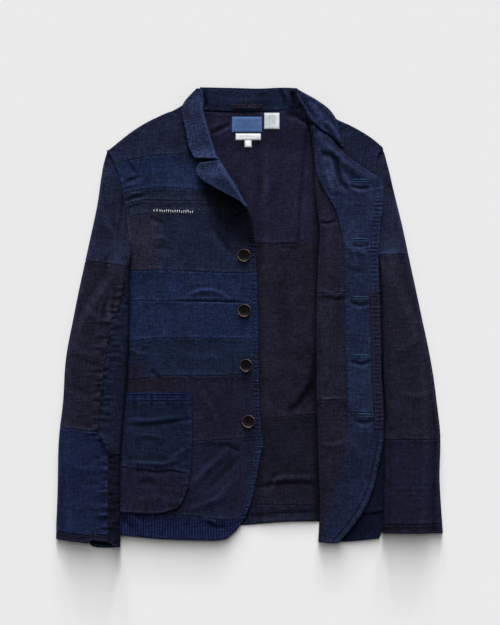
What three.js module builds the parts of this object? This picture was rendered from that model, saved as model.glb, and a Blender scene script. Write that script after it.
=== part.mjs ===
// Patched boro jacket laid flat on its back. Millimetres, +Z up, +Y toward the collar.
// The origin is on the centre back, on the underside that rests on the table.
// The wearer's right front (-X) is closed; the wearer's left front (+X) is folded open.
import * as THREE from 'three';

// ---- driving dimensions ----
const BODY_CLOTH = 2.0;      // shell cloth with its patch behind it
const SLEEVE_CLOTH = 1.8;
const TRIM_CLOTH = 1.2;      // bindings, labels
const SEAM_GAP = 0.3;
const LAYER_GAP = 0.3;
const BUTTON_RADIUS = 10;
const BUTTON_HEIGHT = 3.4;
const SLEEVE_LOFT = 5.4;     // between the middles of a sleeve's two walls
const ROLL_STEPS = 4;

// middle heights of the layers
const BACK_Z = BODY_CLOTH / 2;
const FRONT_Z = BACK_Z + BODY_CLOTH + LAYER_GAP;
const POCKET_CLOTH = 1.6;
const POCKET_LIFT = BODY_CLOTH / 2 + LAYER_GAP + POCKET_CLOTH / 2;
const FLAP_Z = FRONT_Z + POCKET_LIFT + POCKET_CLOTH / 2 + LAYER_GAP + BODY_CLOTH / 2;
const SLEEVE_OVER_BODY = 6.6;

// ---- helpers ----
const clamp01 = (t) => Math.min(1, Math.max(0, t));

function smooth(from, to, value) {
  const t = clamp01((value - from) / (to - from));
  return t * t * (3 - 2 * t);
}

const mix = (a, b, t) => a + (b - a) * t;

// a smooth function through points [input, output]
function through(...points) {
  const known = [...points].sort((p, q) => p[0] - q[0]);
  const last = known.length - 1;
  const slope = (k) => {
    const before = known[Math.max(0, k - 1)];
    const after = known[Math.min(last, k + 1)];
    return (after[1] - before[1]) / (after[0] - before[0]);
  };
  return (input) => {
    if (input <= known[0][0]) {
      return known[0][1] + slope(0) * (input - known[0][0]);
    }
    if (input >= known[last][0]) {
      return known[last][1] + slope(last) * (input - known[last][0]);
    }
    let k = 0;
    while (input > known[k + 1][0]) {
      k += 1;
    }
    const width = known[k + 1][0] - known[k][0];
    const t = (input - known[k][0]) / width;
    const m0 = slope(k) * width;
    const m1 = slope(k + 1) * width;
    const t2 = t * t;
    const t3 = t2 * t;
    return (2 * t3 - 3 * t2 + 1) * known[k][1] + (t3 - 2 * t2 + t) * m0
      + (3 * t2 - 2 * t3) * known[k + 1][1] + (t3 - t2) * m1;
  };
}

// a smooth plan path through points [x, y], walked from 0 to 1 by its length
function path(...points) {
  const lengths = [0];
  for (let k = 1; k < points.length; k += 1) {
    const step = Math.hypot(points[k][0] - points[k - 1][0], points[k][1] - points[k - 1][1]);
    lengths.push(lengths[k - 1] + step);
  }
  const total = lengths[lengths.length - 1];
  const xAt = through(...points.map((p, k) => [lengths[k] / total, p[0]]));
  const yAt = through(...points.map((p, k) => [lengths[k] / total, p[1]]));
  return (t) => [xAt(t), yAt(t)];
}

const group = new THREE.Group();
group.name = 'patched_boro_jacket';

function cloth(color, roughness = 0.92) {
  return new THREE.MeshStandardMaterial({ color, roughness, metalness: 0 });
}

function addMesh(name, positions, faces, material) {
  const geometry = new THREE.BufferGeometry();
  geometry.setAttribute('position', new THREE.Float32BufferAttribute(positions.flat(), 3));
  geometry.setIndex(faces.flat());
  geometry.computeVertexNormals();
  const mesh = new THREE.Mesh(geometry, material);
  mesh.name = name;
  group.add(mesh);
  return mesh;
}

const minus = (a, b) => [a[0] - b[0], a[1] - b[1], a[2] - b[2]];
const dot = (a, b) => a[0] * b[0] + a[1] * b[1] + a[2] * b[2];
const cross = (a, b) => [a[1] * b[2] - a[2] * b[1], a[2] * b[0] - a[0] * b[2], a[0] * b[1] - a[1] * b[0]];

function unit(a) {
  const size = Math.hypot(...a) || 1;
  return [a[0] / size, a[1] / size, a[2] / size];
}

// draw the rim of a patch in by half the seam gap, square to its own edge
function insetRim(rows, gap) {
  const down = rows.length - 1;
  const across = rows[0].length - 1;
  const moved = rows.map((row) => row.map((p) => [...p]));
  const pull = (j, i, jIn, iIn, jA, iA, jB, iB) => {
    const along = unit(minus(rows[jB][iB], rows[jA][iA]));
    const inward = minus(rows[jIn][iIn], rows[j][i]);
    const lean = dot(inward, along);
    const square = unit(inward.map((value, k) => value - along[k] * lean));
    for (let k = 0; k < 3; k += 1) {
      moved[j][i][k] += square[k] * gap;
    }
  };
  for (let i = 0; i <= across; i += 1) {
    const before = Math.max(0, i - 1);
    const after = Math.min(across, i + 1);
    pull(0, i, 1, i, 0, before, 0, after);
    pull(down, i, down - 1, i, down, before, down, after);
  }
  for (let j = 0; j <= down; j += 1) {
    const before = Math.max(0, j - 1);
    const after = Math.min(down, j + 1);
    pull(j, 0, j, 1, before, 0, after, 0);
    pull(j, across, j, across - 1, before, across, after, across);
  }
  return moved;
}

// close a grid of middle points into one wall of even thickness
function addSheet(name, grid, thickness, material, { curled = false, gap = SEAM_GAP / 2, facing = null } = {}) {
  const rows = insetRim(grid, gap);
  const down = rows.length - 1;
  const across = rows[0].length - 1;
  const width = across + 1;
  const normals = facing || rows.map((row, j) => row.map((p, i) => {
    if (!curled) {
      return [0, 0, 1];
    }
    const du = minus(row[Math.min(across, i + 1)], row[Math.max(0, i - 1)]);
    const dv = minus(rows[Math.min(down, j + 1)][i], rows[Math.max(0, j - 1)][i]);
    return unit(cross(du, dv));
  }));
  const du = minus(rows[0][1], rows[0][0]);
  const dv = minus(rows[1][0], rows[0][0]);
  const turned = !curled && cross(du, dv)[2] < 0;
  const positions = [];
  for (const side of [1, -1]) {
    rows.forEach((row, j) => row.forEach((p, i) => {
      const n = normals[j][i];
      positions.push(p.map((value, k) => value + side * n[k] * thickness / 2));
    }));
  }
  const lower = width * (down + 1);
  const faces = [];
  const quad = (a, b, c, d) => {
    faces.push(turned ? [a, c, b] : [a, b, c]);
    faces.push(turned ? [a, d, c] : [a, c, d]);
  };
  for (let j = 0; j < down; j += 1) {
    for (let i = 0; i < across; i += 1) {
      const a = j * width + i;
      quad(a, a + 1, a + width + 1, a + width);
      quad(lower + a, lower + a + width, lower + a + width + 1, lower + a + 1);
    }
  }
  for (let i = 0; i < across; i += 1) {
    const end = down * width + i;
    quad(i + 1, i, lower + i, lower + i + 1);
    quad(end, end + 1, lower + end + 1, lower + end);
  }
  for (let j = 0; j < down; j += 1) {
    const start = j * width;
    const end = start + across;
    quad(start, start + width, lower + start + width, lower + start);
    quad(end + width, end, lower + end, lower + end + width);
  }
  return addMesh(name, positions, faces, material);
}

// plan points of a patch between left and right edges x(y) and top and bottom edges y(x)
function region({ left, right, top, bottom, across, down }) {
  const rows = [];
  for (let j = 0; j <= down; j += 1) {
    const row = [];
    for (let i = 0; i <= across; i += 1) {
      let x = (left(0) + right(0)) / 2;
      let y = 0;
      for (let turn = 0; turn < 30; turn += 1) {
        y = mix(top(x), bottom(x), j / down);
        x = mix(left(y), right(y), i / across);
      }
      row.push([x, y]);
    }
    rows.push(row);
  }
  return rows;
}

// plan points between two paths walked together
function ruled(from, to, across, down) {
  const rows = [];
  for (let j = 0; j <= down; j += 1) {
    const a = from(j / down);
    const b = to(j / down);
    const row = [];
    for (let i = 0; i <= across; i += 1) {
      row.push([mix(a[0], b[0], i / across), mix(a[1], b[1], i / across)]);
    }
    rows.push(row);
  }
  return rows;
}

const lifted = (plan, height) => plan.map((row) => row.map(([x, y]) => [x, y, height(x, y)]));

// a patch that turns over at its first edge: a half round from a lower layer, then the plan points
function rolled(plan, lowZ, height, lowReach = 0) {
  return plan.map((row) => {
    const edge = row[0];
    const away = unit([row[1][0] - edge[0], row[1][1] - edge[1], 0]);
    const low = lowZ(edge[0], edge[1]);
    const radius = (height(edge[0], edge[1]) - low) / 2;
    const points = [];
    const place = (distance, z) => {
      points.push([edge[0] + away[0] * distance, edge[1] + away[1] * distance, z]);
    };
    if (lowReach > 0) {
      place(radius + lowReach, low);
      place(radius + lowReach / 2, low);
    }
    for (let k = 0; k <= ROLL_STEPS; k += 1) {
      const angle = Math.PI * k / ROLL_STEPS;
      place(radius - radius * Math.sin(angle), low + radius - radius * Math.cos(angle));
    }
    for (let i = 1; i < row.length; i += 1) {
      const share = i / (row.length - 1);
      const start = [edge[0] + away[0] * radius, edge[1] + away[1] * radius];
      const last = row[row.length - 1];
      const x = mix(start[0], last[0], share);
      const y = mix(start[1], last[1], share);
      points.push([x, y, height(x, y)]);
    }
    return points;
  });
}

const flatEdge = (value) => () => value;
const shifted = (curve, distance) => (value) => curve(value) + distance;

// ---- outline of the body ----
const shoulderRight = through([-216, 256], [-196, 271], [-181, 284], [-150, 303], [-111, 320], [-84, 337]);
const shoulderLeft = through([128, 321], [142, 305], [162, 296], [193, 278], [214, 261]);
const sideRight = through([256, -216], [237, -206], [204, -195], [151, -187], [117, -183], [89, -181],
  [60, -194], [20, -222], [-20, -246], [-80, -260], [-200, -266], [-340, -262]);
const sideLeft = through([261, 213], [245, 205], [225, 204], [212, 207], [200, 213], [164, 213], [125, 210],
  [89, 208.5], [60, 214], [20, 230], [-20, 247], [-80, 260], [-200, 267], [-340, 262]);
const backHem = through([-262, -336], [-196, -334], [-8, -328], [56, -323], [112, -322], [262, -336]);
const frontHem = through([-262, -338], [-196, -343], [-134, -349], [-37, -351], [0, -352]);

// ---- back, laid on its face ----
const backAcross = 9;
const NECK_RISE = 2.6;
const neckLift = (x, y) => NECK_RISE * smooth(255, 302, y) * smooth(140, 80, Math.abs(x));
const backHeight = (x, y) => BACK_Z + neckLift(x, y);
const backTop = through([-216, 256], [-181, 284], [-150, 303], [-111, 319], [-64, 317], [0, 315], [53, 318],
  [100, 320], [142, 305], [178, 287], [213, 261]);
const backUpperSeam = through([-181, 109], [20, 112], [213, 108]);
const backMiddleSeam = through([-262, -166], [19, -162], [110, -156], [262, -160]);
const backHemSeam = through([-262, -302], [0, -296], [262, -302]);
const backPanels = [
  ['back_upper', backTop, backUpperSeam, 6, 0x20202f],
  ['back_middle', backUpperSeam, backMiddleSeam, 5, 0x1f1e2b],
  ['back_lower', backMiddleSeam, backHemSeam, 3, 0x1a1a26],
  ['back_hem', backHemSeam, backHem, 1, 0x191c29],
];
for (const [name, top, bottom, down, color] of backPanels) {
  const plan = region({ left: sideRight, right: sideLeft, top, bottom, across: backAcross, down });
  addSheet(name, lifted(plan, backHeight), BODY_CLOTH, cloth(color));
}

// ---- right front, closed side up ----
const frontEdge = through([164, 3], [148, 8], [125, 12], [101, 16], [70, 17], [-39, 19], [-133, 21],
  [-190, 25], [-203, 27], [-218, 23], [-257, 16], [-289, 9], [-317, -2], [-332, -12], [-348, -28]);
const rollLine = through([330, -72], [289, -60], [273, -54], [250, -48], [242, -42], [222, -30], [200, -16],
  [180, -5], [166, 2]);
const frontRight = (y) => (y > 165 ? rollLine(y) + 2.6 * smooth(165, 200, y) : frontEdge(y));
const puff = (x, y) => 2.2 * Math.sin(Math.PI * clamp01((x + 178) / 196)) ** 2
  * smooth(-345, -270, y) * smooth(262, 190, y);
const shoulderEase = (x, y) => 0.5 * smooth(225, 250, y) * smooth(185, 150, Math.abs(x));
const frontHeight = (x, y) => FRONT_Z + puff(x, y) + 1.2 * neckLift(x, y) + shoulderEase(x, y);
const frontSeams = [
  shoulderRight,
  through([-206, 236], [-181, 242], [-147, 248], [-90, 252], [-44, 252]),
  through([-193, 190], [-165, 195], [-134, 199], [-72, 195], [0, 193]),
  through([-189, 172], [-162, 178], [-142, 179], [0, 176]),
  through([-183, 153], [-158, 158], [-84, 161], [8, 160]),
  through([-250, 68], [-179, 69], [-126, 70], [-41, 66], [16, 66]),
  through([-256, 22], [-126, 22], [-41, 20], [16, 19]),
  through([-262, -44], [-184, -42], [-142, -37], [-33, -37], [14, -37]),
  through([-264, -102], [-161, -100], [-126, -95], [-48, -95], [19, -90]),
  through([-266, -200], [-84, -197], [-41, -195], [17, -190]),
  through([-264, -304], [-134, -310], [-80, -314], [-28, -320], [0, -322]),
  frontHem,
];
const frontPatches = [
  ['front_right_shoulder', 3, 0x21263c],
  ['front_right_yoke', 2, 0x1d2743],
  ['front_right_strip_upper', 1, 0x1e2637],
  ['front_right_strip_lower', 1, 0x1e2336],
  ['front_right_chest', 3, 0x1f2336],
  ['front_right_band_upper', 2, 0x1c2541],
  ['front_right_band_lower', 2, 0x1c2542],
  ['front_right_waist', 2, 0x1b2236],
  ['front_right_hip', 3, 0x1c1e2d],
  ['front_right_skirt', 4, 0x1a1d2f],
  ['front_right_hem', 2, 0x141a33],
];
frontPatches.forEach(([name, down, color], k) => {
  const plan = region({
    left: sideRight,
    right: frontRight,
    top: frontSeams[k],
    bottom: frontSeams[k + 1],
    across: 7,
    down,
  });
  addSheet(name, lifted(plan, frontHeight), BODY_CLOTH, cloth(color));
});

// the turned and stitched front edge, lying on the patches
const BINDING_WIDTH = 8;
const onFront = (lift) => (x, y) => frontHeight(x, y) + lift;
const bindingLift = BODY_CLOTH / 2 + LAYER_GAP + 0.12 + TRIM_CLOTH / 2;
const bindingPlan = region({
  left: shifted(frontEdge, -BINDING_WIDTH),
  right: shifted(frontEdge, -0.4),
  top: flatEdge(160),
  bottom: flatEdge(-330),
  across: 1,
  down: 20,
});
addSheet('front_right_edge_binding', lifted(bindingPlan, onFront(bindingLift)), TRIM_CLOTH, cloth(0x1a2340));

// patch pocket, lying on the front
const pocketOuter = through([-119, -84], [-200, -84], [-242, -86], [-273, -92], [-292, -100], [-302, -108]);
const pocketInner = through([-119, -240], [-260, -240], [-300, -234]);
const pocketFold = through([-240, -236], [-197, -237], [-142, -243], [-126, -241], [-97, -246], [-84, -246]);
const pocketSeams = [
  through([-240, -121], [-84, -119]),
  through([-240, -135], [-84, -134]),
  pocketFold,
  through([-240, -302], [-197, -307], [-137, -309], [-108, -302]),
];
const pocketPatches = [
  ['pocket_right_band', 1, 0x161d38],
  ['pocket_right_upper', 4, 0x181d31],
  ['pocket_right_lower', 3, 0x191a29],
];
pocketPatches.forEach(([name, down, color], k) => {
  const plan = region({
    left: pocketInner,
    right: pocketOuter,
    top: pocketSeams[k],
    bottom: pocketSeams[k + 1],
    across: 6,
    down,
  });
  addSheet(name, lifted(plan, onFront(POCKET_LIFT + 0.15)), POCKET_CLOTH, cloth(color));
});

// lapel turned back over the chest
const LAPEL_CLOTH = 2.2;
const LAPEL_ROLL = 5.0;
const lapelRoll = path([-41, 241], [-35, 231], [-29, 221], [-15, 199], [-4, 180], [3, 168]);
const lapelEdge = path([-72, 237], [-78, 227], [-74, 214], [-53, 200], [-28, 187], [-9, 177], [-2, 170]);
const lapelHeight = (x, y) => FRONT_Z + puff(-15, 199) + LAPEL_ROLL * mix(0.75, 1, smooth(166, 200, y));
const lapelPlan = ruled(lapelRoll, lapelEdge, 4, 8);
const lapelRows = rolled(lapelPlan, (x, y) => frontHeight(x - 4, y) + 2.4, lapelHeight);
addSheet('lapel_right', lapelRows, LAPEL_CLOTH, cloth(0x252d47), { curled: true });

// ---- collar ----
const COLLAR_CLOTH = 2.0;
const standPlan = region({
  left: through([318, -64], [334, -65], [346, -64]),
  right: through([318, 58], [334, 66], [346, 70]),
  top: through([-64, 347], [-20, 347], [20, 346], [56, 347], [72, 348]),
  bottom: through([-64, 319], [0, 317.5], [53, 320], [62, 322]),
  across: 10,
  down: 3,
});
const standHeight = (x, y) => BACK_Z + NECK_RISE + 1.8 * smooth(318, 346, y);
addSheet('collar_stand_back', lifted(standPlan, standHeight), COLLAR_CLOTH, cloth(0x1b2237));

// the fall behind the neck, turned under the stand
const fallBackPlan = ruled(
  path([-62, 351.5], [-20, 351], [20, 350.5], [60, 352.5]),
  path([-60, 314], [-20, 312], [20, 312], [56, 314]),
  2,
  6,
).reverse();
const fallBackRows = rolled(fallBackPlan, standHeight, () => COLLAR_CLOTH / 2)
  .map((row) => row.map(([x, y, z]) => [x, y, z]));
addSheet('collar_fall_back', fallBackRows, COLLAR_CLOTH, cloth(0x232b46), { curled: true });

// the right fall, turned down over the shoulder
const fallRoll = path([-68, 352], [-66, 335], [-66, 318], [-60, 292], [-54, 272], [-47, 250], [-43, 243]);
const fallEdge = path([-77, 352], [-88, 341], [-98, 328], [-100, 312], [-94, 287], [-89, 260], [-80, 243.5]);
const collarLow = (x, y) => frontHeight(x, y) + 2.9;
const collarHigh = (x, y) => frontHeight(x, y) + 7.7;
const fallRightPlan = ruled(fallRoll, fallEdge, 3, 9);
const fallRightRows = rolled(fallRightPlan, collarLow, collarHigh, 5);
addSheet('collar_fall_right', fallRightRows, COLLAR_CLOTH, cloth(0x262e49), { curled: true });

// the left end of the collar, lying open
const collarLeftOuter = path([78, 352], [93, 343], [110, 334], [128, 322], [140, 306], [146, 286], [153, 262]);
const collarLeftInner = path([80, 340], [91, 322], [100, 304], [117, 289], [134, 278], [143, 269], [150, 261]);
const collarLeftHeight = (x, y) => FLAP_Z + 1.5 * smooth(60, 0, Math.abs(x - 118)) - 1.6 * smooth(135, 152, x);
const collarLeftPlan = ruled(collarLeftInner, collarLeftOuter, 3, 9);
addSheet('collar_left_open', lifted(collarLeftPlan, collarLeftHeight), COLLAR_CLOTH, cloth(0x242b47), { gap: 0.3 });

// ---- left front: the outer cloth lies on the back, then turns over at the fold ----
const foldLine = through([301, 98], [234, 105], [179, 108], [125, 114], [94, 112], [23, 109], [-117, 109],
  [-211, 111], [-320, 115], [-350, 117.5]);
const flapRadius = (FLAP_Z - FRONT_Z) / 2;
const outerStart = shifted(foldLine, 1 + flapRadius + 1.6);
const outerHeight = (x, y) => FRONT_Z + 1.2 * neckLift(x, y) + shoulderEase(x, y);
const outerHem = through([118, -355], [162, -353], [206, -348], [262, -338]);
const outerSeams = [
  through([98, 318], [128, 321], [142, 305], [162, 296], [193, 278], [214, 261]),
  through([100, 234], [205, 222]),
  through([100, -60], [264, -66]),
  outerHem,
];
const outerPatches = [
  ['front_left_shoulder', 4, 0x1f263a],
  ['front_left_upper', 5, 0x1b2236],
  ['front_left_skirt', 5, 0x0f1424],
];
outerPatches.forEach(([name, down, color], k) => {
  const plan = region({
    left: outerStart,
    right: sideLeft,
    top: outerSeams[k],
    bottom: outerSeams[k + 1],
    across: 5,
    down,
  });
  addSheet(name, lifted(plan, outerHeight), BODY_CLOTH, cloth(color));
});

const pocketLeftPlan = region({
  left: through([-119, 140], [-245, 140], [-300, 150]),
  right: through([-119, 240], [-260, 240], [-300, 234]),
  top: through([140, -119], [240, -121]),
  bottom: through([150, -306], [190, -309], [234, -302]),
  across: 4,
  down: 5,
});
addSheet('pocket_left', lifted(pocketLeftPlan, flatEdge(FRONT_Z + POCKET_LIFT)), POCKET_CLOTH, cloth(0x0e1322));

// the flap, inside up
const flapEdge = through([213, 207], [206, 212], [195, 213], [164, 211.5], [125, 208], [78, 206], [23, 208],
  [-101, 211], [-156, 214], [-195, 213], [-234, 206], [-276, 196], [-309, 180], [-332, 164], [-353, 146]);
const gorge = through([98, 300], [115, 285], [131, 275], [153, 250], [178, 232], [208, 213]);
const flapHem = through([115, -354], [130, -356], [146, -355]);
const flapRim = (x, y) => 1.6 * smooth(40, 6, flapEdge(y) - x) * smooth(-195, -120, y) * smooth(230, 180, y);
const gorgeFold = (x, y) => 3.2 * Math.exp(-(((x - 136) / 10) ** 2)) * smooth(150, 185, y) * smooth(262, 235, y);
const flapHeight = (x, y) => FLAP_Z + flapRim(x, y) + 1.3 * neckLift(x, y);
const flapSeams = [
  gorge,
  through([100, 141], [143, 146], [212, 150]),
  through([100, 33], [154, 36], [212, 38]),
  through([100, -134], [157, -132], [212, -128]),
  flapHem,
];
const flapPanels = [
  ['flap_upper', 5, 0x201e2e],
  ['flap_chest', 4, 0x232231],
  ['flap_waist', 4, 0x21202e],
  ['flap_skirt', 7, 0x1f1e2b],
];
flapPanels.forEach(([name, down, color], k) => {
  const plan = region({
    left: shifted(foldLine, 1),
    right: flapEdge,
    top: flapSeams[k],
    bottom: flapSeams[k + 1],
    across: 4,
    down,
  });
  const rows = rolled(plan, outerHeight, flapHeight);
  addSheet(name, rows, BODY_CLOTH, cloth(color), { curled: true });
});

// facing and lapel of the left front, lying on the flap
const FACING_CLOTH = 1.6;
const facingLift = BODY_CLOTH / 2 + LAYER_GAP + 0.4 + FACING_CLOTH / 2;
const facingHeight = (x, y) => flapHeight(x, y) + facingLift + gorgeFold(x, y);
const facingInner = through([297, 104], [250, 107], [215, 112], [195, 121], [179, 131], [156, 142],
  [101, 152], [-8, 154], [-101, 156], [-148, 158], [-211, 154], [-257, 142], [-304, 128], [-323, 121]);
const facingSeams = [
  shifted(gorge, -1),
  through([130, 99], [208, 104]),
  through([130, -150], [213, -154]),
  through([118, -326], [150, -346], [160, -352]),
];
const facingPatches = [
  ['lapel_left_open', 8, 0x212840],
  ['facing_left_upper', 6, 0x1e253b],
  ['facing_left_lower', 7, 0x1c2236],
];
facingPatches.forEach(([name, down, color], k) => {
  const plan = region({
    left: facingInner,
    right: shifted(flapEdge, -0.8),
    top: facingSeams[k],
    bottom: facingSeams[k + 1],
    across: 4,
    down,
  });
  addSheet(name, lifted(plan, facingHeight), FACING_CLOTH, cloth(color));
});
const stripPlan = region({
  left: shifted(flapEdge, -15),
  right: shifted(flapEdge, -1.4),
  top: flatEdge(36),
  bottom: flatEdge(-178),
  across: 1,
  down: 8,
});
const stripLift = FACING_CLOTH / 2 + LAYER_GAP + 0.1 + TRIM_CLOTH / 2;
const stripHeight = (x, y) => facingHeight(x, y) + stripLift;
addSheet('facing_left_edge_strip', lifted(stripPlan, stripHeight), TRIM_CLOTH, cloth(0x1c1f30));

// ---- sleeves: flattened tubes, each of a top sleeve and an under sleeve ----
const EDGE_SHARE = 0.3;

// one point of a sleeve's wall: s runs 0 to 1 over the top from the inner edge, 1 to 2 back underneath
function sleevePoint(sleeve, s, station) {
  const around = ((s % 2) + 2) % 2;
  const upperSide = around <= 1;
  const position = upperSide ? around : 2 - around;
  const outer = [sleeve.outer(station), station];
  const reach = Math.abs(sleeve.inner(station) - outer[0]);
  const innerY = station - sleeve.slant * reach;
  const inner = [sleeve.inner(innerY), innerY];
  const width = Math.hypot(outer[0] - inner[0], outer[1] - inner[1]);
  const plan = (c) => [mix(inner[0], outer[0], c / width), mix(inner[1], outer[1], c / width)];
  const over = smooth(117, 92, innerY);
  const lower = ([x, y]) => {
    const depth = sleeve.side * (sleeve.bodySide(y) - x);
    const onBody = over * smooth(-32, -9, depth);
    return SLEEVE_CLOTH / 2 + 0.05 + SLEEVE_OVER_BODY * onBody;
  };
  const loft = (c) => SLEEVE_LOFT * mix(mix(0.43, 1, smooth(0, 38, c)), 1, over);
  const innerRadius = over * loft(0) / 2;
  const outerRadius = loft(width) / 2;
  let c = 0;
  let share = 1;
  if (position < EDGE_SHARE) {
    const angle = Math.PI / 2 * position / EDGE_SHARE;
    c = innerRadius * (1 - Math.cos(angle));
    share = Math.sin(angle);
  } else if (position > 1 - EDGE_SHARE) {
    const angle = Math.PI / 2 * (1 - position) / EDGE_SHARE;
    c = width - outerRadius * (1 - Math.cos(angle));
    share = Math.sin(angle);
  } else {
    const along = (position - EDGE_SHARE) / (1 - 2 * EDGE_SHARE);
    c = mix(innerRadius, width - outerRadius, along);
  }
  const spot = plan(c);
  const half = loft(c) / 2;
  const middle = lower(spot) + half;
  return [spot[0], spot[1], middle + (upperSide ? 1 : -1) * share * half];
}

function addSleevePatch(sleeve, [name, startS, endS, top, bottom, steps, color]) {
  const rows = [];
  const facing = [];
  for (const station of sleeve.stations.filter((y) => y <= top && y >= bottom)) {
    const row = [];
    const normals = [];
    const s0 = startS(station);
    const s1 = endS(station);
    for (let i = 0; i <= steps; i += 1) {
      const s = mix(s0, s1, i / steps);
      const around = minus(sleevePoint(sleeve, s + 0.01, station), sleevePoint(sleeve, s - 0.01, station));
      const downward = minus(sleevePoint(sleeve, s, station - 1), sleevePoint(sleeve, s, station + 1));
      row.push(sleevePoint(sleeve, s, station));
      normals.push(unit(cross(around, downward).map((value) => value * -sleeve.side)));
    }
    rows.push(sleeve.side * (s1 - s0) < 0 ? row : row.reverse());
    facing.push(sleeve.side * (s1 - s0) < 0 ? normals : normals.reverse());
  }
  addSheet(name, rows, SLEEVE_CLOTH, cloth(color), { curled: true, facing, gap: 0.3 });
}

// where the strip of under sleeve ends on the upper side, as a share of the sleeve's width
const flatShare = (share) => EDGE_SHARE + (1 - 2 * EDGE_SHARE) * share;
const rightStrip = through([84, 0], [30, 0.1], [-8, 0.28], [-70, 0.34], [-133, 0.38], [-175, 0.34], [-205, 0.16],
  [-250, 0.14], [-349, 0.14]);
const sleeveRight = {
  side: -1,
  slant: 0.12,
  stations: [250, 236, 205, 165, 135, 114, 104, 94, 84, 60, 32, 4, -30, -70, -120, -175, -205, -270, -337, -349],
  outer: through([254, -217], [237, -222], [214, -226], [172, -232], [120, -243], [83, -251], [47, -259],
    [-8, -270], [-70, -281], [-133, -285], [-195, -292], [-273, -294], [-349, -297]),
  inner: through([254, -216.6], [237, -206.8], [204, -195.8], [151, -187.8], [117, -183.8], [89, -181.8],
    [62, -183], [0, -183], [-86, -186], [-164, -192], [-226, -197], [-361, -197]),
  bodySide: sideRight,
};
const topStartRight = (y) => (y > 84 ? EDGE_SHARE : flatShare(Math.max(0, rightStrip(y))));
const underEdge = (start) => (y) => mix(-EDGE_SHARE, start(y), smooth(104, 84, y));
const outerWrapRight = () => 1.36;
const rightPatches = [
  ['sleeve_right_top_upper', topStartRight, outerWrapRight, 250, 84, 8, 0x1d2234],
  ['sleeve_right_top_middle', topStartRight, outerWrapRight, 84, -175, 8, 0x1e1e2c],
  ['sleeve_right_top_lower', topStartRight, outerWrapRight, -175, -337, 8, 0x191f37],
  ['sleeve_right_cuff', topStartRight, outerWrapRight, -337, -349, 8, 0x1b1a28],
  ['sleeve_right_under_upper', () => -0.64, underEdge(topStartRight), 250, -205, 8, 0x1a1e2f],
  ['sleeve_right_under_lower', () => -0.64, underEdge(topStartRight), -205, -349, 8, 0x151624],
];

const sleeveLeft = {
  side: 1,
  slant: 0,
  stations: [253, 238, 222, 208, 196, 165, 135, 114, 104, 94, 84, 60, 32, 4, -40, -90, -140, -194, -260, -326, -340],
  outer: through([258, 214.5], [226, 223], [179, 234], [133, 245], [90, 254], [39, 265], [-8, 275], [-55, 285],
    [-94, 292], [-140, 298], [-187, 303], [-257, 302], [-340, 307]),
  inner: through([258, 212.6], [245, 206.6], [225, 206.2], [212, 209.8], [200, 215.4], [164, 213.8], [125, 210.8],
    [89, 209.3], [78, 209], [23, 211], [-101, 214], [-156, 217], [-195, 215], [-265, 214.5], [-340, 212]),
  bodySide: sideLeft,
};
const topStartLeft = () => EDGE_SHARE;
const outerWrapLeft = () => 0.67;
const leftPatches = [
  ['sleeve_left_top_upper', topStartLeft, outerWrapLeft, 253, 94, 4, 0x212538],
  ['sleeve_left_top_middle', topStartLeft, outerWrapLeft, 94, -194, 4, 0x1e1e2b],
  ['sleeve_left_top_lower', topStartLeft, outerWrapLeft, -194, -326, 4, 0x1a1c2c],
  ['sleeve_left_cuff', topStartLeft, outerWrapLeft, -326, -340, 4, 0x191926],
  ['sleeve_left_under_upper', () => -1.33, underEdge(topStartLeft), 253, -194, 10, 0x1b1f31],
  ['sleeve_left_under_lower', () => -1.33, underEdge(topStartLeft), -194, -340, 10, 0x171a2b],
];
for (const entry of rightPatches) {
  addSleevePatch(sleeveRight, entry);
}
for (const entry of leftPatches) {
  addSleevePatch(sleeveLeft, entry);
}

// ---- labels and hanger loop on the inside of the back ----
function addLabel(name, x0, x1, y0, y1, color, base) {
  const plan = ruled(path([x0, y1], [x0, (y0 + y1) / 2], [x0, y0]), path([x1, y1], [x1, (y0 + y1) / 2], [x1, y0]), 2, 2);
  addSheet(name, lifted(plan, (x, y) => base(x, y) + BODY_CLOTH / 2 + LAYER_GAP + 0.1 + TRIM_CLOTH / 2),
    TRIM_CLOTH, cloth(color, 0.8));
}
const labelBase = (x, y) => backHeight(x, y) + 0.5 * smooth(225, 255, y);
addLabel('label_upper', -22, 25, 285, 309, 0x475e8c, labelBase);
addLabel('label_side', 28.5, 52, 290, 315, 0xa9b3b4, labelBase);
addLabel('label_lower', -16, 23, 263, 283, 0xd1d9dd, labelBase);

const loopPlan = ruled(path([-24, 329], [-24, 325], [-24, 321]), path([26, 329], [26, 325], [26, 321]), 6, 1);
const loopHeight = (x, y) => standHeight(x, y) + BODY_CLOTH / 2 + 0.5 + 0.8 + 1.2 * Math.sin(Math.PI * clamp01((x + 24) / 50));
addSheet('hanger_loop', lifted(loopPlan, loopHeight), 1.6, cloth(0x1c1e2e));

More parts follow.
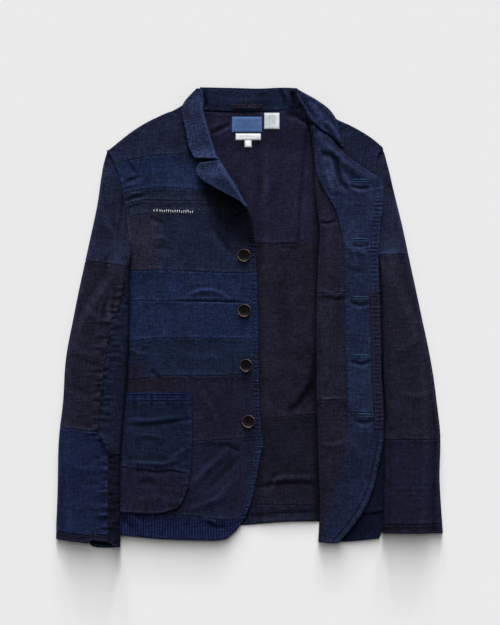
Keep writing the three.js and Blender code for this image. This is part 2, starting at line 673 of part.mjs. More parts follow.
// ---- buttons on the right front edge ----
const buttonCentres = [[-15, 167.5], [-3, 93], [-2.5, 7], [0, -78.5], [4, -166]];
const buttonMaterial = () => new THREE.MeshStandardMaterial({ color: 0x15110f, roughness: 0.35, metalness: 0 });
buttonCentres.forEach(([x, y], k) => {
  const positions = [];
  const faces = [];
  const sides = 14;
  const base = frontHeight(x, y) + BODY_CLOTH / 2 + 0.6;
  const rings = [
    [BUTTON_RADIUS * 0.8, 0],
    [BUTTON_RADIUS, BUTTON_HEIGHT * 0.7],
    [BUTTON_RADIUS * 0.86, BUTTON_HEIGHT],
    [BUTTON_RADIUS * 0.6, BUTTON_HEIGHT * 0.72],
  ];
  for (const [radius, height] of rings) {
    for (let i = 0; i < sides; i += 1) {
      const angle = 2 * Math.PI * i / sides;
      positions.push([x + radius * Math.cos(angle), y + radius * Math.sin(angle), base + height]);
    }
  }
  for (let ring = 0; ring < rings.length - 1; ring += 1) {
    for (let i = 0; i < sides; i += 1) {
      const a = ring * sides + i;
      const b = ring * sides + (i + 1) % sides;
      faces.push([a, b, b + sides]);
      faces.push([a, b + sides, a + sides]);
    }
  }
  const top = (rings.length - 1) * sides;
  for (let i = 1; i < sides - 1; i += 1) {
    faces.push([0, i + 1, i]);
    faces.push([top, top + i, top + i + 1]);
  }
  addMesh(`button_${k + 1}`, positions, faces, buttonMaterial());
});

export default group;
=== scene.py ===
import bpy
import math
import numpy as np
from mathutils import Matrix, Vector


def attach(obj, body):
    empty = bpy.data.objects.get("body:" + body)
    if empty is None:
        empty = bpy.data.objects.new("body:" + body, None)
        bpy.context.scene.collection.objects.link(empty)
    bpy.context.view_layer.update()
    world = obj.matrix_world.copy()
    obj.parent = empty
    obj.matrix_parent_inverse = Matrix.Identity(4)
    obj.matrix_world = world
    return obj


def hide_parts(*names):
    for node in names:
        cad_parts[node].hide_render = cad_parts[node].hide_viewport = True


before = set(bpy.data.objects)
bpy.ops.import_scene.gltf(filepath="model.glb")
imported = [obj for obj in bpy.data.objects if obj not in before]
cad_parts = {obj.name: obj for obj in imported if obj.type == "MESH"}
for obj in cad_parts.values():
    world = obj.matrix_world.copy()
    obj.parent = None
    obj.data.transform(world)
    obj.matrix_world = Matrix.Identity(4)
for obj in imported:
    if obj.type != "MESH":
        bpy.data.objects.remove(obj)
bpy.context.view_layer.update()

# All sizes below are millimetres in the part's frame: +Y toward the collar, +X toward the wearer's left.
MM = 0.001
COARSE = 1.0
FINE = 2.0 * COARSE             # grid cell of cloth that shows
HIDDEN = 4.5 * COARSE           # grid cell of cloth that lies underneath
BACK_TOP = 2.0                  # heights of the layers' upper sides
FRONT_TOP = 4.3
FLAP_TOP = 8.5
SLEEVE_OVER_BODY = 6.6
SLEEVE_LOFT = 9.0
SURFACE_GAP = 0.2               # cloth stays this far above the surface it lies on
SEAM_COVER = 0.2                # patches reach this far past their seams
CREST_HEIGHT = 0.5              # a ridge this high is fully faded, and a trough this deep takes the full painted shade
WAVE_SCALE = 314.16             # wave texture scale whose bands repeat every millimetre
NOISE_CELLS = 256
ROLL_STEPS = 10                 # facets of a half round fold
ALL_SIDES = ("left", "right", "top", "bottom")


# ---- small mathematics ----
def smooth(start, end, value):
    """Rises from 0 to 1 between start and end."""
    t = np.clip((value - start) / (end - start), 0, 1)
    return t * t * (3 - 2 * t)


def mix(a, b, t):
    return a + (b - a) * t


def through(*points):
    """A smooth function through points (input, output)."""
    known = np.array(sorted(points), float)
    xs = known[:, 0]
    ys = known[:, 1]
    slopes = np.empty(len(xs))
    slopes[1:-1] = (ys[2:] - ys[:-2]) / (xs[2:] - xs[:-2])
    slopes[0] = (ys[1] - ys[0]) / (xs[1] - xs[0])
    slopes[-1] = (ys[-1] - ys[-2]) / (xs[-1] - xs[-2])

    def curve(value):
        v = np.asarray(value, float)
        k = np.clip(np.searchsorted(xs, v) - 1, 0, len(xs) - 2)
        width = xs[k + 1] - xs[k]
        t = (v - xs[k]) / width
        inner = ((2 * t**3 - 3 * t**2 + 1) * ys[k] + (t**3 - 2 * t**2 + t) * slopes[k] * width
                 + (3 * t**2 - 2 * t**3) * ys[k + 1] + (t**3 - t**2) * slopes[k + 1] * width)
        before = ys[0] + slopes[0] * (v - xs[0])
        after = ys[-1] + slopes[-1] * (v - xs[-1])
        return np.where(v < xs[0], before, np.where(v > xs[-1], after, inner))

    return curve


def path(*points):
    """A smooth plan path walked from 0 to 1 by its length."""
    pts = np.array(points, float)
    lengths = np.concatenate([[0], np.cumsum(np.hypot(*np.diff(pts, axis=0).T))])
    share = lengths / lengths[-1]
    x_at = through(*zip(share, pts[:, 0]))
    y_at = through(*zip(share, pts[:, 1]))
    return lambda t: (x_at(t), y_at(t))


def flat_edge(value):
    return lambda v: np.full_like(np.asarray(v, float), value)


def shifted(curve, distance):
    """The same curve moved over by a distance."""
    return lambda v: curve(v) + distance


TABLE = np.random.default_rng(20).uniform(-1, 1, (NOISE_CELLS, NOISE_CELLS))


def noise(x, y, cell, seed=0):
    """Smooth noise from -1 to 1 with bumps about one cell wide."""
    u = np.asarray(x, float) / cell + seed * 17.31
    v = np.asarray(y, float) / cell + seed * 5.77
    i = np.floor(u).astype(int)
    j = np.floor(v).astype(int)
    fu = u - i
    fv = v - j
    fu = fu**3 * (fu * (fu * 6 - 15) + 10)
    fv = fv**3 * (fv * (fv * 6 - 15) + 10)
    i0 = i % NOISE_CELLS
    j0 = j % NOISE_CELLS
    i1 = (i + 1) % NOISE_CELLS
    j1 = (j + 1) % NOISE_CELLS
    a = TABLE[i0, j0]
    b = TABLE[i1, j0]
    c = TABLE[i0, j1]
    d = TABLE[i1, j1]
    return mix(mix(a, b, fu), mix(c, d, fu), fv)


def crumple(x, y, seed, amount=1.0):
    """The soft unevenness of washed, patched cloth."""
    warp = 9 * noise(x, y, 60, seed + 3)
    slow = 0.62 * noise(x + warp, y, 58, seed)
    middle = 0.34 * noise(x + warp, y - warp, 27, seed + 1)
    fine = 0.13 * noise(x, y + warp, 11, seed + 2)
    return amount * (slow + middle + fine)


def pucker(along, away, seed, amount=0.7, reach=7, cell=4.2):
    """Gathers square to a line of stitches."""
    ripple = noise(along, away * 0.3, cell, seed) + 0.5 * noise(along, away * 0.2, cell * 0.5, seed + 9)
    return amount * ripple * np.exp(-away / reach) * (1 - np.exp(-away / 1.4))


def crease(x, y, points, width, height):
    """A ridge, or a trough if height is negative, along plan points; it fades out at both ends."""
    pts = np.array(points, float)
    best = np.full(np.shape(x), 1e9)
    where = np.zeros(np.shape(x))
    steps = np.hypot(*np.diff(pts, axis=0).T)
    total = steps.sum()
    done = 0
    for (ax, ay), (bx, by), length in zip(pts[:-1], pts[1:], steps):
        ux = (bx - ax) / length
        uy = (by - ay) / length
        run = np.clip((x - ax) * ux + (y - ay) * uy, 0, length)
        distance = np.hypot(x - ax - ux * run, y - ay - uy * run)
        closer = distance < best
        best = np.where(closer, distance, best)
        where = np.where(closer, (done + run) / total, where)
        done += length
    fade = np.sin(np.pi * np.clip(where, 0.0, 1.0)) ** 0.6
    return height * np.exp(-((best / width) ** 2)) * fade


def creases(x, y, table):
    total = np.zeros(np.shape(x))
    for entry in table:
        total = total + crease(x, y, *entry)
    return total


# ---- plan grids ----
def graded(width, cell):
    """Shares from 0 to 1, close together at both rims."""
    rim = np.array([0, 0.5, 1.1, 2.0, 3.4]) if cell < 2.5 else np.array([0, 1.0, 2.4])
    reach = min(rim[-1], width * 0.3)
    rim = rim / rim[-1] * reach
    count = max(2, int(round((width - 2 * reach) / cell)))
    middle = np.linspace(reach, width - reach, count + 1)
    return np.concatenate([rim[:-1], middle, width - rim[:-1][::-1]]) / width


def region(left, right, top, bottom, near, cell=FINE):
    """Plan points of a patch between edges x(y) and y(x), with the distance to each of its four edges."""
    x_mid = float((left(near) + right(near)) / 2)
    width = abs(float(right(near) - left(near)))
    height = abs(float(top(x_mid) - bottom(x_mid)))
    s = graded(width, cell)[None, :]
    t = graded(height, cell)[:, None]
    x = np.full((t.shape[0], s.shape[1]), x_mid)
    y = np.full_like(x, near)
    for _ in range(30):
        y = mix(top(x) + SEAM_COVER, bottom(x) - SEAM_COVER, t)
        x = mix(left(y) - SEAM_COVER, right(y) + SEAM_COVER, s)
    edges = {
        "left": np.abs(x - left(y)),
        "right": np.abs(right(y) - x),
        "top": np.abs(top(x) - y),
        "bottom": np.abs(y - bottom(x)),
    }
    return x, y, edges


def ruled(start, end, width, length):
    """Plan points between two paths walked together: rows run from start to end."""
    s = graded(width, FINE)[None, :]
    t = graded(length, FINE)[:, None]
    ax, ay = start(t)
    bx, by = end(t)
    x = mix(ax, bx, s)
    y = mix(ay, by, s)
    span = np.hypot(bx - ax, by - ay)
    edges = {
        "left": s * span,
        "right": (1 - s) * span,
        "top": t * length + 0 * s,
        "bottom": (1 - t) * length + 0 * s,
    }
    return x, y, edges


def rim_distance(edges, sides=ALL_SIDES):
    """Distance from each grid point to the nearest of the given edges."""
    nearest = edges[sides[0]]
    for side in sides[1:]:
        nearest = np.minimum(nearest, edges[side])
    return nearest


def turned_edge(distance, drop=0.42):
    """The soft roll of a turned-in edge, and the slight swell beside it."""
    return -drop * np.exp(-((distance / 0.9) ** 2)) + 0.16 * np.exp(-(((distance - 2.6) / 1.4) ** 2))


# ---- materials ----
def srgb(color):
    """Linear colour from 0 to 255 display values."""
    values = [c / 255 for c in color]
    return [c / 12.92 if c <= 0.04045 else ((c + 0.055) / 1.055) ** 2.4 for c in values] + [1]


def dyed(color):
    """The cloth's own colour, a little deeper than it looks because its surface also shines."""
    return [max(0.0012, 0.94 * value - 0.0016) for value in srgb(color)[:3]] + [1]


def node(tree, kind, **settings):
    made = tree.nodes.new(kind)
    for key, value in settings.items():
        if hasattr(made, key):
            setattr(made, key, value)
        else:
            made.inputs[key.replace("_", " ")].default_value = value
    return made


def cloth(name, color, second=None, angle=0.0, weave="plain", heather=0.3, period=3.0, grain=1.0):
    """Hand-woven cotton: slubs, a woven bump, faded ridges with painted shade in the creases, and puckered
    seams darkened with painted shade; the shade attribute adds painted shade.
    """
    material = bpy.data.materials.new(name)
    material.use_nodes = True
    tree = material.node_tree
    link = tree.links.new
    shader = tree.nodes["Principled BSDF"]
    shader.inputs["Roughness"].default_value = 0.9
    shader.inputs["Specular IOR Level"].default_value = 0.05
    place = node(tree, "ShaderNodeTexCoord")
    turn = node(tree, "ShaderNodeMapping")
    turn.inputs["Rotation"].default_value = (0, 0, math.radians(angle))
    link(place.outputs["Object"], turn.inputs["Vector"])

    def blotch(scale, stretch=(1, 1, 1), detail=2.0):
        shape = node(tree, "ShaderNodeMapping")
        shape.inputs["Scale"].default_value = stretch
        link(turn.outputs["Vector"], shape.inputs["Vector"])
        cloud = node(tree, "ShaderNodeTexNoise", Scale=scale, Detail=detail)
        link(shape.outputs["Vector"], cloud.inputs["Vector"])
        return cloud.outputs["Fac"]

    def calculate(kind, *values):
        made = node(tree, "ShaderNodeMath", operation=kind)
        for index, value in enumerate(values):
            if isinstance(value, (int, float)):
                made.inputs[index].default_value = value
            else:
                link(value, made.inputs[index])
        return made.outputs[0]

    def spread(value, low, high, start=0.3, end=0.7):
        made = node(tree, "ShaderNodeMapRange")
        for key, number in (("From Min", start), ("From Max", end), ("To Min", low), ("To Max", high)):
            made.inputs[key].default_value = number
        link(value, made.inputs["Value"])
        return made.outputs[0]

    def bands(axis):
        wave = node(tree, "ShaderNodeTexWave", wave_type="BANDS", Scale=WAVE_SCALE / period)
        wave.bands_direction = "XY"[axis]
        wave.inputs["Distortion"].default_value = 0.8
        wave.inputs["Detail Scale"].default_value = 0.6
        link(turn.outputs["Vector"], wave.inputs["Vector"])
        return wave.outputs["Fac"]

    # rim darkens the colour beside seams as painted shade; crest fades ridges (wear) and darkens troughs
    # (painted shade); shade is painted shade
    rim = node(tree, "ShaderNodeAttribute", attribute_name="rim").outputs["Fac"]
    crest = node(tree, "ShaderNodeAttribute", attribute_name="crest").outputs["Fac"]
    shade = node(tree, "ShaderNodeAttribute", attribute_name="shade").outputs["Fac"]
    slow = spread(blotch(14), 0.88, 1.12)
    middle = spread(blotch(75, detail=3.0), 0.86, 1.14)
    warp = spread(blotch(1, (620, 60, 300)), 1 - heather, 1 + heather)
    weft = spread(blotch(1, (60, 620, 300)), 1 - heather * 0.6, 1 + heather * 0.6)
    fine = spread(blotch(520), 1 - 0.34 * grain, 1 + 0.34 * grain)
    gain = calculate("MULTIPLY", slow, middle)
    painted_seam_shade = spread(rim, 0.82, 1.0, 0.0, 1.4)
    ridge_wear_and_crease_shade = spread(crest, 0.58, 1.36, -1.0, 1.0)
    for part in (warp, weft, fine, painted_seam_shade, ridge_wear_and_crease_shade, shade):
        gain = calculate("MULTIPLY", gain, part)

    if weave == "stripe":
        share = bands(0)
    elif weave == "check":
        share = calculate("MULTIPLY", calculate("ADD", bands(0), bands(1)), 0.5)
    elif weave == "side":
        share = node(tree, "ShaderNodeAttribute", attribute_name="tint").outputs["Fac"]
    else:
        share = spread(blotch(24, detail=3.0), 0, 1)
    base = node(tree, "ShaderNodeMix", data_type="RGBA")
    base.inputs[6].default_value = dyed(color)
    base.inputs[7].default_value = dyed(second or color)
    link(share, base.inputs[0])
    tinted = node(tree, "ShaderNodeVectorMath", operation="SCALE")
    link(base.outputs[2], tinted.inputs[0])
    link(gain, tinted.inputs["Scale"])
    link(tinted.outputs[0], shader.inputs["Base Color"])

    near_seam = calculate("POWER", 2.718, calculate("MULTIPLY", rim, -0.16))
    gathers = calculate("MULTIPLY", blotch(210), calculate("MULTIPLY", near_seam, 1.6))
    surface = calculate("ADD", calculate("MULTIPLY", blotch(150, detail=3.0), 0.9), gathers)
    surface = calculate("ADD", surface, calculate("MULTIPLY", calculate("ADD", warp, weft), 0.3))
    bump = node(tree, "ShaderNodeBump", Strength=1.0, Distance=0.0012 * grain)
    link(surface, bump.inputs["Height"])
    link(bump.outputs[0], shader.inputs["Normal"])
    return material


def plain(name, color, roughness=0.8, shine=0.06):
    """One even colour: thread, horn or floor."""
    material = bpy.data.materials.new(name)
    material.use_nodes = True
    shader = material.node_tree.nodes["Principled BSDF"]
    shader.inputs["Base Color"].default_value = srgb(color)
    shader.inputs["Roughness"].default_value = roughness
    shader.inputs["Specular IOR Level"].default_value = shine
    return material


# ---- meshes ----
def add_mesh(name, points, quads, material, attributes=None):
    mesh = bpy.data.meshes.new(name)
    mesh.from_pydata((points * MM).tolist(), [], quads.tolist() if hasattr(quads, "tolist") else quads)
    mesh.materials.append(material)
    mesh.polygons.foreach_set("use_smooth", [True] * len(mesh.polygons))
    for key, values in (attributes or {}).items():
        layer = mesh.attributes.new(key, "FLOAT", "POINT")
        layer.data.foreach_set("value", np.asarray(values, np.float32).ravel())
    mesh.update()
    obj = bpy.data.objects.new(name, mesh)
    bpy.context.scene.collection.objects.link(obj)
    return obj


def declare(obj, nodes, slot=None):
    """Fastens a piece to the body and hides the solids that it stands for."""
    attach(obj, "root")
    if nodes:
        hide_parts(*nodes)
    slot or nodes[0]


def normals_of(points):
    """Unit normals of a grid of points."""
    du = np.gradient(points, axis=1)
    dv = np.gradient(points, axis=0)
    n = np.cross(du, dv)
    return n / np.maximum(np.linalg.norm(n, axis=2, keepdims=True), 1e-9)


def softened(values, reach):
    """Each value's average with its neighbours up to reach steps away."""
    for axis in (0, 1):
        padded = np.pad(values, [(reach, reach) if a == axis else (0, 0) for a in (0, 1)], mode="edge")
        total = np.cumsum(padded, axis=axis)
        total = np.insert(total, 0, 0, axis=axis)
        count = values.shape[axis]
        window = 2 * reach + 1
        if axis == 0:
            values = (total[window:window + count] - total[:count]) / window
        else:
            values = (total[:, window:window + count] - total[:, :count]) / window
    return values


def add_sheet(name, points, rim, material, thickness=1.5, relief=None, tint=None, shade=None, nodes=None,
              slot=None):
    """One cloth piece from a grid of top-side points. relief pushes it out along its own normals."""
    smallest_side = 10.0
    normals = normals_of(points)
    up = 1.0 if np.mean(normals[:, :, 2]) >= 0 else -1.0
    if relief is not None:
        points = points + up * normals * relief[:, :, None]
    for _ in range(3):
        lowest = SURFACE_GAP + thickness * smooth(-0.7, 0.0, up * normals_of(points)[:, :, 2])
        points = stack(points[:, :, 0], points[:, :, 1], np.maximum(points[:, :, 2], lowest))
    rows, columns = points.shape[:2]
    index = np.arange(rows * columns).reshape(rows, columns)
    quads = np.stack([index[:-1, :-1], index[:-1, 1:], index[1:, 1:], index[1:, :-1]], axis=-1).reshape(-1, 4)
    if up < 0:
        quads = quads[:, ::-1]
    values = {
        "rim": rim,
        # crest: ridges fade with wear, troughs take painted shade; shade: painted shade multiplied into the
        # colour
        "crest": np.clip((points[:, :, 2] - softened(points[:, :, 2], 4)) / CREST_HEIGHT, -1, 1),
        "tint": np.zeros((rows, columns)) if tint is None else tint,
        "shade": np.ones((rows, columns)) if shade is None else shade,
    }
    obj = add_mesh(name + "_cloth", points.reshape(-1, 3), quads, material, values)
    wall = obj.modifiers.new("wall", "SOLIDIFY")
    wall.thickness = thickness * MM
    wall.offset = -1
    declare(obj, [name] if nodes is None else nodes, slot)
    sides = max(smallest_side, np.linalg.norm(np.diff(points, axis=1), axis=2).sum(axis=1).max())
    lengths = max(smallest_side, np.linalg.norm(np.diff(points, axis=0), axis=2).sum(axis=0).max())
    return obj


def stack(x, y, z):
    return np.stack([x, y, z], axis=-1)


def flat_patch(name, grid, height, material, seeds=(1, 2, 3, 4), pucker_amount=0.5, reach=8, **options):
    """A patch that lies on a layer: height is the layer's top; each rim has its own gathers."""
    x, y, edges = grid
    relief = turned_edge(rim_distance(edges))
    for side, seed in zip(ALL_SIDES, seeds):
        along = y if side in ("left", "right") else x
        relief = relief + pucker(along, edges[side], seed, pucker_amount, reach)
    return add_sheet(name, stack(x, y, height(x, y)), rim_distance(edges), material, relief=relief, **options)


def patches(table, left, right, seams, height, seed, cell=FINE, tint=None, shade=None, **options):
    """A column of patches between two sides, each from one seam to the next."""
    for k, (name, look, near) in enumerate(table):
        grid = region(left, right, seams[k], seams[k + 1], near, cell)
        x, y = grid[:2]
        seeds = (seed, seed + 1, seed + 2 + k, seed + 3 + k)
        flat_patch(name, grid, height, cloth(name, **look), seeds=seeds,
                   tint=tint and tint(name, x, y), shade=shade and shade(x, y), **options)


def rolled(x, y, low, high, low_reach=0.0):
    """Turns the first edge of a grid under: a half round from a lower layer, then the grid itself."""
    ex = x[:, :1]
    ey = y[:, :1]
    away = np.stack([x[:, 3:4] - ex, y[:, 3:4] - ey], axis=-1)
    away = away / np.linalg.norm(away, axis=2, keepdims=True)
    wx = away[:, :, 0]
    wy = away[:, :, 1]
    base = low(ex, ey)
    radius = (high(ex, ey) - base) / 2
    columns = []

    def place(distance, z):
        columns.append(stack(ex + wx * distance, ey + wy * distance, z))

    if low_reach > 0:
        for share in (1.0, 0.66, 0.33):
            place(radius + low_reach * share, base)
    for k in range(ROLL_STEPS + 1):
        angle = math.pi * k / ROLL_STEPS
        place(radius * (1 - math.sin(angle)), base + radius * (1 - math.cos(angle)))
    span = np.hypot(x[:, -1:] - ex, y[:, -1:] - ey)
    share = np.hypot(x - ex, y - ey) / span
    start = radius / span
    share = start + (1 - start) * share[:, 1:]
    px = mix(ex, x[:, -1:], share)
    py = mix(ey, y[:, -1:], share)
    columns.append(stack(px, py, high(px, py)))
    return np.concatenate(columns, axis=1)


# ---- outlines ----
shoulder_right = through((-216, 256), (-196, 271), (-181, 284), (-150, 303), (-111, 320), (-84, 337))
side_right = through((256, -216), (237, -206), (204, -195), (151, -187), (117, -184.5), (89, -187),
                     (60, -196), (20, -222), (-20, -246), (-80, -260), (-200, -266), (-340, -262))
side_left = through((261, 213), (245, 205), (225, 204), (212, 207), (200, 213), (164, 213), (125, 210),
                    (89, 213.5), (60, 217), (20, 230), (-20, 247), (-80, 260), (-200, 267), (-340, 262))
back_hem = through((-262, -336), (-196, -334), (-8, -328), (56, -323), (112, -322), (262, -326))
front_hem = through((-262, -338), (-196, -343), (-134, -349), (-60, -351.5), (-40, -351), (-28, -347.5),
                    (-18, -340), (-9, -329), (0, -316))


def neck_lift(x, y):
    """The layers rise where the collar's seam lies in the neck."""
    return 2.6 * smooth(255, 302, y) * smooth(140, 80, np.abs(x))


# ---- back ----
back_creases = [
    ([(-58, 282), (-40, 290), (-24, 299)], 2.6, -2.2),
    ([(-52, 279), (-38, 285), (-26, 293)], 3.5, 0.9),
    ([(62, 317), (78, 310), (98, 300)], 2.6, -2.2),
    ([(62, 309), (76, 303), (95, 293)], 3.5, 0.9),
    ([(34, 215), (30, 190), (23, 165)], 5, 1.2),
    ([(94, 290), (89, 242), (86, 195), (83, 156), (80, 104)], 1.8, -1.6),
    ([(14, 106), (45, 105), (84, 107)], 1.3, -1.0),
    ([(14, 111), (45, 110), (84, 112)], 1.0, -0.7),
    ([(108, -100), (96, -120), (80, -142), (62, -154)], 5, -2.4),
    ([(104, -118), (92, -136), (74, -152)], 4, 1.2),
    ([(48, -246), (38, -260), (31, -278)], 3, -1.3),
    ([(60, -250), (46, -262), (38, -272)], 4, 1.0),
    ([(-4, -267), (20, -268), (45, -264), (84, -261), (112, -264)], 2.2, -1.9),
    ([(24, -308), (60, -309), (112, -307)], 2.0, -1.0),
    ([(-8, -314), (24, -313), (54, -313)], 1.8, -1.3),
    ([(30, -260), (60, -255), (84, -254), (110, -257)], 3.4, 1.6),
    ([(-8, 130), (10, 60), (30, -20)], 16, 1.0),
    ([(62, 100), (55, 20), (70, -70)], 14, -1.1),
]
inner_patch_edge = through((80, 60), (81, 114), (83, 156), (86, 195), (89, 242), (92, 273), (94, 320))
fold_line = through((301, 98), (234, 105), (179, 108), (125, 114), (94, 112), (23, 109), (-117, 109),
                   (-211, 111), (-300, 114), (-320, 113.5), (-350, 112))


def back_shade(x, y):
    """Painted shade: darker beside the folded front, along the diagonal fold, under the right front's edge
    and in the neck.
    """
    reach = mix(9, 17, smooth(0, -60, y) * smooth(-220, -160, y))
    fold = 0.55 * np.exp(-np.clip(fold_line(y) - x, 0, 99) / reach)
    tuck = crease(x, y, [(113, -50), (108, -96), (97, -120), (80, -140), (64, -152)], 9, 0.55)
    edge = 0.30 * np.exp(-np.clip(x - front_right_edge(y), 0, 99) / 7)
    neck = 0.45 * smooth(300, 318, y) * smooth(58, 72, x)
    return np.clip(1 - fold - tuck - edge - neck, 0.24, 1)


def back_top_z(x, y):
    """Upper side of the back."""
    free = 1.0 * smooth(18, 34, x) * smooth(113, 100, x) * smooth(290, 240, y)
    return (BACK_TOP + neck_lift(x, y) + 0.2 + free + crumple(x, y, 11, 0.7) * smooth(190, 120, np.abs(x))
            + creases(x, y, back_creases))


back_top = through((-216, 256), (-181, 284), (-150, 303), (-111, 319), (-64, 317), (0, 315), (53, 318),
                   (100, 320), (142, 305), (178, 287), (213, 261))
back_seams = [
    back_top,
    through((-181, 109), (20, 112), (213, 108)),
    through((-262, -166), (19, -162), (110, -156), (262, -160)),
    through((-262, -302), (0, -296), (262, -302)),
    back_hem,
]
back_panels = [
    ("back_upper", (32, 32, 52), (33, 30, 42), 200),
    ("back_middle", (33, 31, 43), (30, 29, 43), 0),
    ("back_lower", (28, 27, 39), (25, 26, 38), -230),
    ("back_hem", (25, 28, 42), (28, 30, 44), -315),
]


def add_back():
    for k, (name, color, second, near) in enumerate(back_panels):
        grid = region(side_right, side_left, back_seams[k], back_seams[k + 1], near=near, cell=1.5 * FINE)
        tint = smooth(-1, 1, grid[0] - inner_patch_edge(grid[1])) if k == 0 else None
        if k < 2:
            shared = "top" if k else "bottom"
            grid[2][shared] = grid[2][shared] + 40 * smooth(80, 86, grid[0])
        flat_patch(name, grid, back_top_z, cloth(name, color, second, weave="side" if k == 0 else "plain"),
                   seeds=(31, 32, 33 + k, 34 + k), thickness=1.0, tint=tint,
                   shade=back_shade(grid[0], grid[1]))


# ---- right front ----
front_edge = through((164, 3), (148, 8), (125, 12), (101, 16), (70, 17), (-39, 19), (-133, 21), (-190, 25),
                     (-203, 27), (-218, 23), (-257, 16), (-289, 9), (-317, -2), (-332, -12), (-348, -28))
roll_line = through((330, -72), (289, -60), (273, -54), (250, -48), (242, -42), (222, -30), (200, -16),
                    (180, -5), (166, 2))


def front_right_edge(y):
    """Outer edge of the right front, up along the lapel's roll."""
    return np.where(y > 165, roll_line(y) + 2.6 * smooth(165, 200, y), front_edge(y))


def puff(x, y):
    """The slight swell of the closed front, and the lift of its hem."""
    wave = np.sin(np.pi * np.clip((x + 178) / 196, 0, 1)) ** 2
    body = 3.0 * wave * smooth(-345, -270, y) * smooth(262, 190, y)
    hem = 5.0 * smooth(-215, -352, y) * smooth(-240, -200, x) * smooth(10, -60, x)
    return body + hem


add_back()
front_creases = [
    ([(-95, 31), (-72, 38), (-58, 39), (-40, 35), (-22, 22)], 3.2, 1.9),
    ([(-112, 22), (-72, 22), (-40, 21.5), (-2, 20)], 1.9, -2.0),
    ([(-92, -272), (-66, -245), (-42, -222), (-28, -204)], 6, 1.9),
    ([(-64, -276), (-42, -253), (-10, -220)], 5.5, -1.5),
    ([(-88, -304), (-62, -292), (-28, -280)], 5, 1.3),
    ([(-55, -300), (-30, -268), (-8, -250)], 6, 1.2),
    ([(-196, -312), (-186, -322), (-176, -334)], 3, -1.4),
    ([(-186, -310), (-172, -318), (-160, -332)], 3.4, 1.3),
    ([(-60, -322), (-46, -330), (-30, -332)], 3.4, -2.0),
    ([(-70, -316), (-52, -322), (-34, -338)], 3.4, 1.5),
    ([(-44, -206), (-30, -204), (-8, -212)], 3.4, -1.4),
    ([(-150, 155), (-140, 148), (-126, 142)], 3, -1.2),
    ([(-146, 120), (-132, 121), (-118, 116)], 3, 0.8),
    ([(-142, 104), (-130, 106), (-112, 101)], 3, -0.8),
    ([(-60, 150), (-42, 125), (-28, 104), (-14, 96)], 6, -1.6),
    ([(-48, 182), (-25, 172), (-8, 178)], 12, -2.6),
    ([(-186, 242), (-174, 226), (-168, 214)], 3.0, -0.9),
    ([(-192, 208), (-180, 211), (-166, 216)], 2.2, -1.7),
    ([(-190, 178), (-176, 183), (-158, 187)], 2.0, -1.8),
    ([(-186, 166), (-172, 172), (-158, 174)], 2.0, -1.2),
    ([(-192, 199), (-180, 203), (-170, 206)], 2.2, 1.0),
    ([(-190, 184), (-176, 189), (-164, 192)], 2.2, 1.0),
    ([(-120, -60), (-80, -66), (-30, -62)], 7, 0.8),
    ([(-70, -120), (-50, -150), (-40, -180)], 6, 0.9),
    ([(-150, -85), (-138, -96), (-134, -104)], 2.6, -1.0),
    ([(-184, -52), (-168, -60), (-150, -62)], 2.6, 0.9),
]


def layer_z(x, y):
    """Upper side of a front where it lies flat on the back."""
    ease = 0.5 * smooth(225, 250, y) * smooth(185, 150, np.abs(x))
    return FRONT_TOP + 1.2 * neck_lift(x, y) + ease


def front_base_z(x, y):
    return layer_z(x, y) + puff(x, y)


def ribs(inside, y, seed, centre, width, height):
    """Short gathers square to a stitched edge, drawn up by its rows of stitches."""
    wave = np.sin(2 * np.pi * y / 6.4 + 2.6 * noise(inside * 0 + 3, y, 24, seed))
    size = 0.75 + 0.5 * noise(inside * 0 + 8, y, 13, seed + 1)
    reach = np.exp(-(((inside - centre) / width) ** 2))
    return -height * size * np.clip(wave, -0.25, 1) ** 2 * np.sign(wave + 0.25) * reach


def front_top_z(x, y):
    """Upper side of the closed right front, with its creases."""
    calm = smooth(-215, -180, x)
    return front_base_z(x, y) + calm * (crumple(x, y, 21, 0.75) + creases(x, y, front_creases))


front_seams = [
    shoulder_right,
    through((-206, 236), (-181, 242), (-147, 248), (-90, 252), (-44, 252)),
    through((-193, 190), (-165, 195), (-134, 199), (-72, 195), (0, 193)),
    through((-189, 172), (-162, 178), (-142, 179), (0, 176)),
    through((-183, 153), (-158, 158), (-84, 161), (8, 160)),
    through((-250, 68), (-179, 69), (-126, 70), (-41, 66), (16, 66)),
    through((-256, 22), (-126, 22), (-41, 20), (16, 19)),
    through((-262, -44), (-184, -42), (-142, -37), (-33, -37), (14, -37)),
    through((-264, -102), (-161, -100), (-126, -95), (-48, -95), (19, -90)),
    through((-266, -200), (-84, -197), (-41, -195), (17, -190)),
    through((-264, -304), (-134, -310), (-80, -314), (-28, -320), (0, -314)),
    front_hem,
]
front_patches = [
    ("front_right_shoulder", dict(color=(34, 39, 61), second=(31, 36, 57)), 290),
    ("front_right_yoke", dict(color=(29, 40, 69), second=(31, 40, 65)), 215),
    ("front_right_strip_upper",
     dict(color=(15, 21, 36), second=(38, 46, 66), weave="check", period=3.1), 185),
    ("front_right_strip_lower",
     dict(color=(20, 25, 40), second=(40, 46, 66), weave="check", period=3.1, angle=2), 168),
    ("front_right_chest", dict(color=(30, 36, 56), second=(38, 38, 54), weave="side"), 110),
    ("front_right_band_upper", dict(color=(28, 38, 67), second=(31, 39, 64)), 45),
    ("front_right_band_lower", dict(color=(28, 38, 68), second=(31, 39, 65)), -10),
    ("front_right_waist", dict(color=(27, 35, 56), second=(32, 30, 47), weave="side"), -70),
    ("front_right_hip", dict(color=(28, 30, 46), second=(33, 30, 42), weave="side"), -150),
    ("front_right_skirt", dict(color=(27, 31, 51), second=(26, 28, 43)), -260),
    ("front_right_hem", dict(color=(15, 20, 42), second=(29, 37, 68), weave="stripe", period=4.2), -335),
]
lapel_shadow_line = through((-110, 214), (-74, 208), (-53, 200), (-28, 187), (-9, 177), (20, 160))


